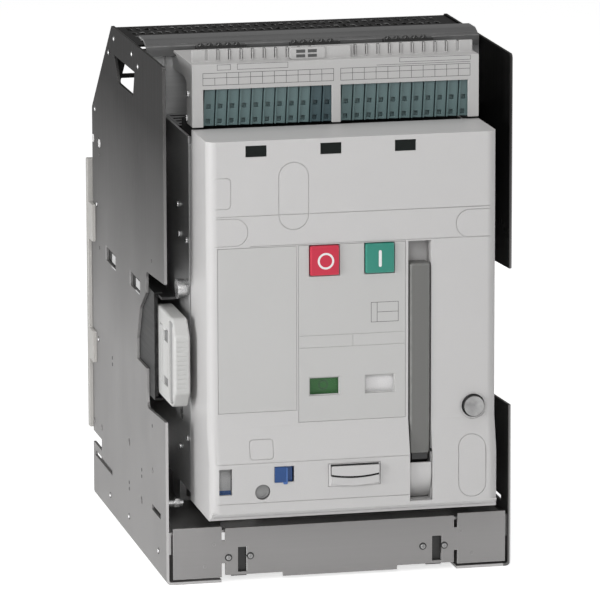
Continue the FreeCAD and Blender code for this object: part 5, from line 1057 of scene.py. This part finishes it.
class SWITCH_OT_rails(Operator):
    """Dresses the rails and their guides"""

    bl_idname = "switch.rails"
    bl_label = "Rails"

    def execute(self, context):
        for node, side, front in RAILS:
            web = tuple(sorted((side * 149.9, side * 154)))
            shelf = tuple(sorted((side * 134, side * 154)))
            cutters = [plain_box("mouth", web, (front - 2, front + 62), (150, 260)),
                       plain_box("mouth", shelf, (front - 2, front + 44), (242, 260))]
            dressed(node, "rail", sizes().sheet_edge, cutters=cutters)
        dressed("rail_guides", "rail", sizes().sheet_edge)
        return {"FINISHED"}


class SWITCH_OT_grips(Operator):
    """Dresses the two grips with their ribs, slot and pockets"""

    bl_idname = "switch.grips"
    bl_label = "Grips"

    def execute(self, context):
        side, front = -150, -184.5
        recess = (side - 2, side + 1.6)
        bed = (side + 1.3, side + 1.9)
        pockets = [((front + 34, front + 48), z) for z in ((214, 223), (174, 182))]
        cutters = [rounded_box("slot", recess, (front + 8, front + 23), (163, 237), "x", 5, 4)]
        cutters += [plain_box("pocket", recess, y, z) for y, z in pockets]
        rib = plain_box("rib", (-147, -138.5), (front - 1, front + 0.4), (167, 168))
        cutters.append(repeat(rib, 17, (0, 0, 4.1)))
        fills = [plain_box("fill", (side + 0.02, side + 13), y, z)
                 for y, z in (((-154.1, -141.9), (181.9, 214.1)),
                              ((-130.1, -117.9), (174.9, 225.1)))]
        left = dressed("left_grip", "grip", 2.2 * MM, 4, cutters, fills)
        # Darker beds in the slot and pockets: painted shade of these recesses
        slot = rounded_box("bed", bed, (front + 8.2, front + 22.8), (163.2, 236.8), "x", 4.9, 4)
        slot = on_node(slot, "left_grip_slot_shade", "slot_grey", "left_grip")
        pocket_shade_beds = [plain_box("bed", bed, y, z) for y, z in pockets]
        pocket_shade_inlay = on_node(merge(*pocket_shade_beds), "left_grip_pocket_shade", "pocket_grey", "left_grip")
        mirror = Matrix.Translation((0, 0.049, 0)) @ Matrix.Scale(-1, 4, (1, 0, 0))
        for item, name, look, *stands_for in (
                (left, "right_grip_finished", "grip", "right_grip"),
                (slot, "right_grip_slot_bed", "slot_grey"),
                (pocket_shade_inlay, "right_grip_pocket_beds", "pocket_grey")):
            twin, = copies(item, [(0, 0, 0)])
            twin.name = name
            twin.data.transform(mirror)
            twin.data.flip_normals()
            settle(twin, look, nodes["right_grip"]["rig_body"], *stands_for,
                   slot=slot_of["right_grip"])
        return {"FINISHED"}


class SWITCH_OT_racking(Operator):
    """Dresses the racking drive and cuts the thread of its screw"""

    bl_idname = "switch.racking"
    bl_label = "Racking drive"

    def execute(self, context):
        dressed("screw_bearings", "bright", sizes().sheet_edge)
        dressed("racking_carriage", "zinc", sizes().sheet_edge)
        pitch = sizes().thread_pitch / MM
        turns = int(165 // pitch)
        groove = coil("groove", CRANK, -138, 8.6, 1.9, turns, pitch, "y", 6, 16)
        dressed("racking_screw", "bright", sizes().sheet_edge, cutters=[groove])
        return {"FINISHED"}


# Terminals of each strip, and so the cells of the table above it
STRIP_TERMINALS = 11
TERMINAL_EDGE = 0.25 * MM


class SWITCH_OT_terminal_block(Operator):
    """Dresses the terminal block's frame and rules its tables"""

    bl_idname = "switch.terminal_block"
    bl_label = "Terminal block"

    def execute(self, context):
        # Dark backs behind the comb's fins: painted shade in the gaps beside each fin
        gap_shades, fins = [], []
        for side in (-1, 1):
            for number in range(9):
                x = side * (15 + 10.3 * (number + 0.5))
                gap_shades.append(plain_box("back", (x - 1.7, x + 1.7), (-148.6, -147.4),
                                       (463, 472.6)))
                fins.append(plain_box("fin", (x - 0.5, x + 0.5), (-152.4, -148.4),
                                      (462.8, 472.4)))
        on_node(merge(*gap_shades), "wiring_comb_gap_shade", "ink", "terminal_block_frame",
                "black_plastic")
        on_node(merge(*fins), "wiring_comb_fins", "block", "terminal_block_frame")
        dressed("terminal_block_frame", "block", sizes().moulded_edge / 2)
        pitch = sizes().strip_pitch / MM
        face = BLOCK_FACE
        top, middle, low = 454.5, 450.2, 443.9
        tables = []
        for left in (-119, 3.9):
            right = left + STRIP_TERMINALS * pitch
            uprights = []
            for number in range(1, STRIP_TERMINALS):
                high = middle if left < 0 and number == 1 else top
                uprights.append((left + pitch * number, low, high))
            tables.append(ruled((left, right), (low, top), face, uprights,
                                [(middle, left, right)]))
        for x, z in (((-106.2, -94.4), (457.0, 461.6)), ((-88.3, -43.3), (457.1, 461.9)),
                     ((56.9, 120.8), (458.1, 461.8))):
            tables.append(frame_line(x, z, face, 0.35))
        tables.append(plain_box("rule", (36.2, 120.8), (face - INK_PROUD, face + 0.2),
                                (456.0, 456.35)))
        on_node(merge(*tables), "block_ruled_tables", "ink", "terminal_block_frame",
                "black_plastic")

        tag = rounded_box("tag", (-39.5, -8), (COMB_FACE - 0.3, COMB_FACE + 5), (462.6, 472.8),
                          "y", 2.2, 4)
        on_node(tag, "block_tag", "block", "terminal_block_frame", edge=0.4 * MM)
        cells = [plain_box("cell", x, (COMB_FACE - 0.4, COMB_FACE), z)
                 for z in ((464.2, 466.9), (468.2, 471.1))
                 for x in ((-34.0, -26.0), (-23.6, -15.6))]
        on_node(merge(*cells), "block_tag_cells", "ink", "terminal_block_frame",
                "black_plastic")
        return {"FINISHED"}


class SWITCH_OT_strips(Operator):
    """Models the two terminal strips with a fin and two wire pockets at each terminal"""

    bl_idname = "switch.strips"
    bl_label = "Terminal strips"

    def column(self, left, pitch):
        body = plain_box("terminal", (left + 0.5, left + pitch - 0.9), (-161.2, -152),
                         (407.6, 444))
        fin = plain_box("fin", (left + 0.2, left + 1.3), (-162.4, -152), (407.2, 444.5))
        for z in (424.5, 411.5):
            take_away(body, plain_box("pocket", (left + 2.4, left + 6.2), (-163, -157.5),
                                      (z - 2, z + 2)))
        blade = plain_box("blade", (left + 4.6, left + 5.8), (-161.0, -155), (427.5, 441))
        column = merge(body, fin, blade)
        middle = Vector(((left + pitch / 2) * MM, 0, 0.4258))
        lean = Matrix.Rotation(math.radians(2.9), 4, "Y")
        column.data.transform(Matrix.Translation(middle) @ lean @ Matrix.Translation(-middle))
        return column

    def strip(self, node, left, dark):
        pitch = sizes().strip_pitch / MM
        base = plain_box("strip_base", (left - 0.6, left + STRIP_TERMINALS * pitch + 0.6),
                         (-156, -136.6), (407.1, 460))
        light = STRIP_TERMINALS - dark
        columns = self.column(left, pitch)
        repeat(columns, light, (pitch, 0, 0))
        strip = merge(columns, base)
        strip.name = node + "_moulding"
        round_edges(strip, TERMINAL_EDGE)
        stand_in(strip, "teal", node)
        if dark:
            last = self.column(left + pitch * light, pitch)
            repeat(last, dark, (pitch, 0, 0))
            on_node(last, node + "_dark_terminals", "teal_dark", node, edge=TERMINAL_EDGE)

    def execute(self, context):
        self.strip("left_terminal_strip", -117.6, 2)
        self.strip("right_terminal_strip", 5.2, 0)
        return {"FINISHED"}


# Switch

def level_line(x, z, face=COVER_FACE):
    """A cutter for a level joint line in the cover's face."""
    half = sizes().groove_wide / MM / 2
    return plain_box("line", x, (face - 1, face + sizes().groove_deep / MM), (z - half, z + half))


def ring(x, z, radius, face=COVER_FACE):
    """A cutter for a joint line with rounded corners in the cover's face."""
    half = sizes().groove_wide / MM / 2
    deep = sizes().groove_deep / MM
    outer = rounded_box("ring", (x[0] - half, x[1] + half), (face - 1, face + deep),
                        (z[0] - half, z[1] + half), "y", radius + half, 8)
    inner = rounded_box("core", (x[0] + half, x[1] - half), (face - 2, face + deep + 1),
                        (z[0] + half, z[1] - half), "y", radius - half, 8)
    return take_away(outer, inner)


def bent(item):
    """Follows the cover's slope above the full bulge."""
    slope = (COVER_FACE - BULGE_FACE) / (BULGE_HIGH - BULGE_FULL)
    for vertex in item.data.vertices:
        rise = vertex.co.z / MM - BULGE_FULL
        if rise > 0:
            vertex.co.y += rise * slope * MM
    return item


def bottom_chamfer(name, half_long, half_high, inner, outer):
    """A slab along the cover's lower front edge, between two distances from the chamfer."""
    slab = plain_box(name, (-half_long, half_long), (-outer, -inner), (-half_high, half_high))
    turn = Matrix.Rotation(math.radians(50), 4, "X")
    place = Matrix.Translation([0, -0.2334, 0.0736])
    slab.data.transform(place @ turn)
    return slab


class SWITCH_OT_cover(Operator):
    """Dresses the front cover with its joint lines"""

    bl_idname = "switch.cover"
    bl_label = "Front cover"

    def execute(self, context):
        cutters = [
            level_line((-140, 140), 339.2),
            level_line((-91.5, 140), 312.4),
            ring((-65.9, -39.6), (325.8, 384.9), 13),
            ring((-150, -108.3), (346, 373.1), 4),
            ring((-150, -93.3), (313.2, 337.3), 12),
            ring((92.1, 150), (312.2, 336.7), 12),
            bent(ring((93.1, 117.7), (81.5, 136.8), 12, face=BULGE_FACE)),
            bent(ring((-93.6, -72.7), (124.5, 141.5), 3, face=BULGE_FACE)),
            level_line((-130.8, 49), 121.4, BULGE_FACE),
            level_line((-130.8, 49), 86.0, BULGE_FACE),
            disc("bead", "y", (BULGE_FACE - 1, BULGE_FACE + 1.4), (-130.4, 121.4), 1.1, 16),
            bottom_chamfer("chamfer", 140, 20, 0, 20),
        ]
        dressed("front_cover", "cover", sizes().cover_edge, 3, cutters)
        lip = bottom_chamfer("cover_lip", 127.6, 5.8, -1.9, -0.3)
        on_node(lip, "cover_bottom_lip", "cover", "front_cover", edge=0.3 * MM)

        collar = hoop("collar", "y", (COVER_FACE + 0.3, COVER_FACE + 5), KNOB, 12.3, 10.2)
        on_node(collar, "release_button_collar", "cover", "front_cover", edge=0.6 * MM)
        return {"FINISHED"}


class SWITCH_OT_panels(Operator):
    """Dresses the two inset panels, with joint lines and a plain ruled table"""

    bl_idname = "switch.panels"
    bl_label = "Inset panels"

    def execute(self, context):
        dressed("blank_panel", "panel", sizes().moulded_edge / 2)
        around = [plain_box("reveal", (x[0] - 0.9, x[1] + 0.9), (COVER_FACE - 1, -227.5), z)
                  for x, z in (((-38.5, -12.7), (283.3, 320)), ((10.7, 36.5), (283.3, 320)),
                               ((-38.5, -12.7), (177.2, 193.9)), ((11.4, 36.3), (177.2, 193.9)))]
        lines = [plain_box("joint", (-52, 50), (COVER_FACE - 1, COVER_FACE + 0.5),
                           (z - 0.25, z + 0.25)) for z in (231.0, 220.3)]
        lines.append(plain_box("joint", (-0.6, -0.1), (COVER_FACE - 1, COVER_FACE + 0.5),
                               (220.4, 231.0)))
        dressed("centre_panel", "panel", sizes().moulded_edge / 2, cutters=around + lines)
        table = ruled((16.1, 40.3), (240.6, 258), COVER_FACE, [(21.4, 240.6, 258)],
                      [(249.3, 21.4, 40.3)])
        on_node(table, "centre_panel_ruled_table", "ink", "centre_panel", "black_plastic")
        return {"FINISHED"}


BUTTON_EDGE = 1.5 * MM


class SWITCH_OT_buttons(Operator):
    """Dresses the two buttons with their marks and the round release button"""

    bl_idname = "switch.buttons"
    bl_label = "Buttons"

    def execute(self, context):
        dressed("off_button", "red", BUTTON_EDGE)
        dressed("on_button", "green", BUTTON_EDGE)
        tube = hoop("tube", "y", (-240, -200), KNOB, 14, 8.9)
        crown = plain_box("crown", (90, 126), (-240, -233.9), (145, 178))
        dressed("release_button", "knob", 0.3 * MM, cutters=[tube, crown])
        # A dark sleeve round the knob's side: painted shade of the crescent beside the knob
        sleeve = hoop("sleeve", "y", (-233.3, -229.5), KNOB, 9.3, 8.6)
        on_node(sleeve, "release_button_shade_sleeve", "dark_steel", "release_button")
        proud = (BUTTON_FACE - 0.12, BUTTON_FACE + 0.2)
        on_node(hoop("ring", "y", proud, OFF_MARK, 7.3, 5.5), "off_button_mark", "flag_white",
                "off_button", "flag_white")
        mark = rounded_box("bar", (22.3, 24.9), proud, (289.8, 304.6), "y", 1.2, 4)
        on_node(mark, "on_button_mark", "flag_white", "on_button", "flag_white")
        return {"FINISHED"}


class SWITCH_OT_windows(Operator):
    """Dresses the windows and the flags behind them"""

    bl_idname = "switch.windows"
    bl_label = "Windows and flags"

    def execute(self, context):
        clear = lens("clear_lens", (0.80, 0.82, 0.82), 0.005)
        smoked = lens("smoked_lens", (0.010, 0.013, 0.012), 0.97)
        dressed("indicator_lenses", clear, sizes().sheet_edge / 2)
        dressed("port_lenses", smoked, sizes().sheet_edge / 2)
        dressed("contact_flag", "flag_green", sizes().sheet_edge / 2)
        mark = hoop("mark", "y", (-223.9, -223.5), FLAG_MARK, 4.4, 3.1, 32)
        on_node(mark, "contact_flag_mark", "flag_mark", "contact_flag")
        dressed("spring_flag", "flag_white", sizes().sheet_edge / 2)
        dressed("position_flag", "flag_grey", sizes().sheet_edge / 2)
        band = plain_box("band", (-122.2, -109), (-226.5, -226.2), (91.6, 96.0))
        on_node(band, "position_flag_band", "blue_tab", "position_flag", "blue_plastic")
        return {"FINISHED"}


class SWITCH_OT_lever(Operator):
    """Dresses the charging lever and its hub"""

    bl_idname = "switch.lever"
    bl_label = "Charging lever"

    def execute(self, context):
        foot = plain_box("foot", (0, 12), (-240, -205), (-30, 30))
        foot.data.transform(Matrix.Translation((0.0668, 0, 0.121))
                            @ Matrix.Rotation(math.radians(14), 4, "Y"))
        dressed("charging_lever", "lever", sizes().moulded_edge * 2.5, 4, [foot])
        dressed("lever_hub", "dark_steel", sizes().moulded_edge)
        liner = [plain_box("wall", x, (-228.6, -214.6), (79.2, 121.5))
                 for x in ((69.6, 71.2), (48, 49.6))]
        liner.append(plain_box("sill", (49, 70.4), (-228.6, -221), (77.6, 79.6)))
        on_node(merge(*liner), "lever_channel_liner", "cover", "front_cover")
        y, z = PIVOT
        apron = hoop("apron", "x", (49.9, 69.2), PIVOT, 31.2, 29.4, 96)
        take_away(apron, plain_box("back", (45, 75), (-211, -150), (50, 150)))
        take_away(apron, plain_box("top", (45, 75), (-245, -150), (113.4, 150)))
        web = plain_box("web", (50, 52.4), (y - 30, y - 9), (z - 5, z + 5))
        on_node(merge(apron, web), "lever_hub_apron", "cover", "lever_hub", "cover_grey")
        return {"FINISHED"}


def bowed(name, y, low):
    """A flat tongue of the hasp whose lower edge hangs in a shallow bow."""
    item = disc(name, "y", y, (-0.7, low + 111), 111, 360)
    for x, z in (((-200, -22), (-50, 400)), ((20.6, 200), (-50, 400)),
                 ((-200, 200), (115.8, 400))):
        take_away(item, plain_box("beyond", x, (-250, -230), z))
    return item


class SWITCH_OT_locks(Operator):
    """Dresses the slider and the padlock hasp, and models the crank hole's shutter"""

    bl_idname = "switch.locks"
    bl_label = "Slider, hasp and crank hole"

    def execute(self, context):
        dressed("release_slider", "blue", sizes().sheet_edge)
        flat = plain_box("flat", (-22.6, 21.2), (-246, -238.2), (97.0, 118))
        dressed("padlock_hasp", "cover", sizes().moulded_edge / 2, cutters=[flat])
        tab = rounded_box("tab", (-64.6, -60.6), (-238.6, -236), (101.6, 116.4), "y", 1, 3)
        on_node(tab, "release_slider_tab", "blue_tab", "release_slider", edge=0.4 * MM)
        ridge = bowed("ridge", (-241.4, HASP_FACE), 106.4)
        lip = bowed("lip", (-240.5, HASP_FACE), 97.7)
        on_node(merge(ridge, lip), "padlock_hasp_ridges", "cover", "padlock_hasp", edge=0.7 * MM)
        # Near-black strips in the hasp's slit and along its top: painted shade of these gaps
        gap = bowed("gap", (-240.75, -238.1), 104.6)
        line = plain_box("line", (-22.2, 20.8), (-238.5, HASP_FACE), (116.0, 116.9))
        on_node(merge(gap, line), "padlock_hasp_gap_shade", "rail", "padlock_hasp")
        # The shutter's grey, darker than the cover's, is painted shade of the hole around it
        shutter = disc("shutter", "y", (-233.2, -230.8), CRANK, 6.8, 48)
        round_edges(shutter, 0.6 * MM, 3)
        take_away(shutter, disc("dish", "y", (-233.8, -232.6), CRANK, 4.6, 48))
        on_node(shutter, "crank_hole_shutter", "slot_grey", "front_cover")
        return {"FINISHED"}


class SWITCH_OT_spring(Operator):
    """Winds the closing spring"""

    bl_idname = "switch.spring"
    bl_label = "Closing spring"

    def execute(self, context):
        wire = sizes().spring_wire / MM
        turns = sizes().spring_turns
        rise = (110 - 2 * wire - 0.4) / turns
        spring = coil("closing_spring_coil", (100, -168), 190 + wire + 0.2, 12.9 - wire, wire,
                      turns, rise)
        stand_in(spring, "bright", "closing_spring")
        return {"FINISHED"}


# Each inner piece that needs no more than its finish
WORKS = (
    ("mechanism_plates", "zinc"), ("front_deck", "zinc"), ("spring_guide", "bright"),
    ("left_side_frame", "zinc"), ("right_side_frame", "zinc"), ("side_rollers", "bright"),
    ("drive_pins", "bright"), ("pole_case_front", "insulator"),
    ("pole_case_rear", "insulator"), ("arc_chutes", "black_moulding"),
    ("upper_conductors", "copper"), ("lower_conductors", "copper"),
    ("upper_jaws", "copper"), ("lower_jaws", "copper"), ("contact_arms", "copper"),
    ("pole_shaft", "bright"), ("link_rods", "insulator"), ("charging_shaft", "bright"),
)


class SWITCH_OT_works(Operator):
    """Dresses the frames, poles, contacts and shafts inside the switch"""

    bl_idname = "switch.works"
    bl_label = "Inner works"

    def execute(self, context):
        for node, look in WORKS:
            dressed(node, look, sizes().sheet_edge)
        return {"FINISHED"}


STEPS = (
    SWITCH_OT_stage, SWITCH_OT_plates, SWITCH_OT_inner_sheets, SWITCH_OT_cross_plate,
    SWITCH_OT_top, SWITCH_OT_lid, SWITCH_OT_combs, SWITCH_OT_rear, SWITCH_OT_rails,
    SWITCH_OT_grips, SWITCH_OT_racking, SWITCH_OT_terminal_block, SWITCH_OT_strips,
    SWITCH_OT_cover, SWITCH_OT_panels, SWITCH_OT_buttons, SWITCH_OT_windows,
    SWITCH_OT_lever, SWITCH_OT_locks, SWITCH_OT_spring, SWITCH_OT_works,
)


class SWITCH_PT_steps(Panel):
    """Lists the steps that dress the switch"""

    bl_label = "Draw-out switch"
    bl_idname = "SWITCH_PT_steps"
    bl_space_type = "VIEW_3D"
    bl_region_type = "UI"
    bl_category = "Switch"

    def draw(self, context):
        for step in STEPS:
            self.layout.operator(step.bl_idname)
        for group in (context.scene.switch_sizes, context.scene.switch_colours):
            box = self.layout.box()
            for key in group.__annotations__:
                box.prop(group, key)


CLASSES = (SwitchSizes, SwitchColours, *STEPS, SWITCH_PT_steps)


def register():
    for item in CLASSES:
        bpy.utils.register_class(item)
    bpy.types.Scene.switch_sizes = PointerProperty(type=SwitchSizes)
    bpy.types.Scene.switch_colours = PointerProperty(type=SwitchColours)


def unregister():
    del bpy.types.Scene.switch_colours
    del bpy.types.Scene.switch_sizes
    for item in reversed(CLASSES):
        bpy.utils.unregister_class(item)


def main():
    register()
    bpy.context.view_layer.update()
    for step in STEPS:
        group, name = step.bl_idname.split(".")
        getattr(getattr(bpy.ops, group), name)()


if __name__ == "__main__":
    main()
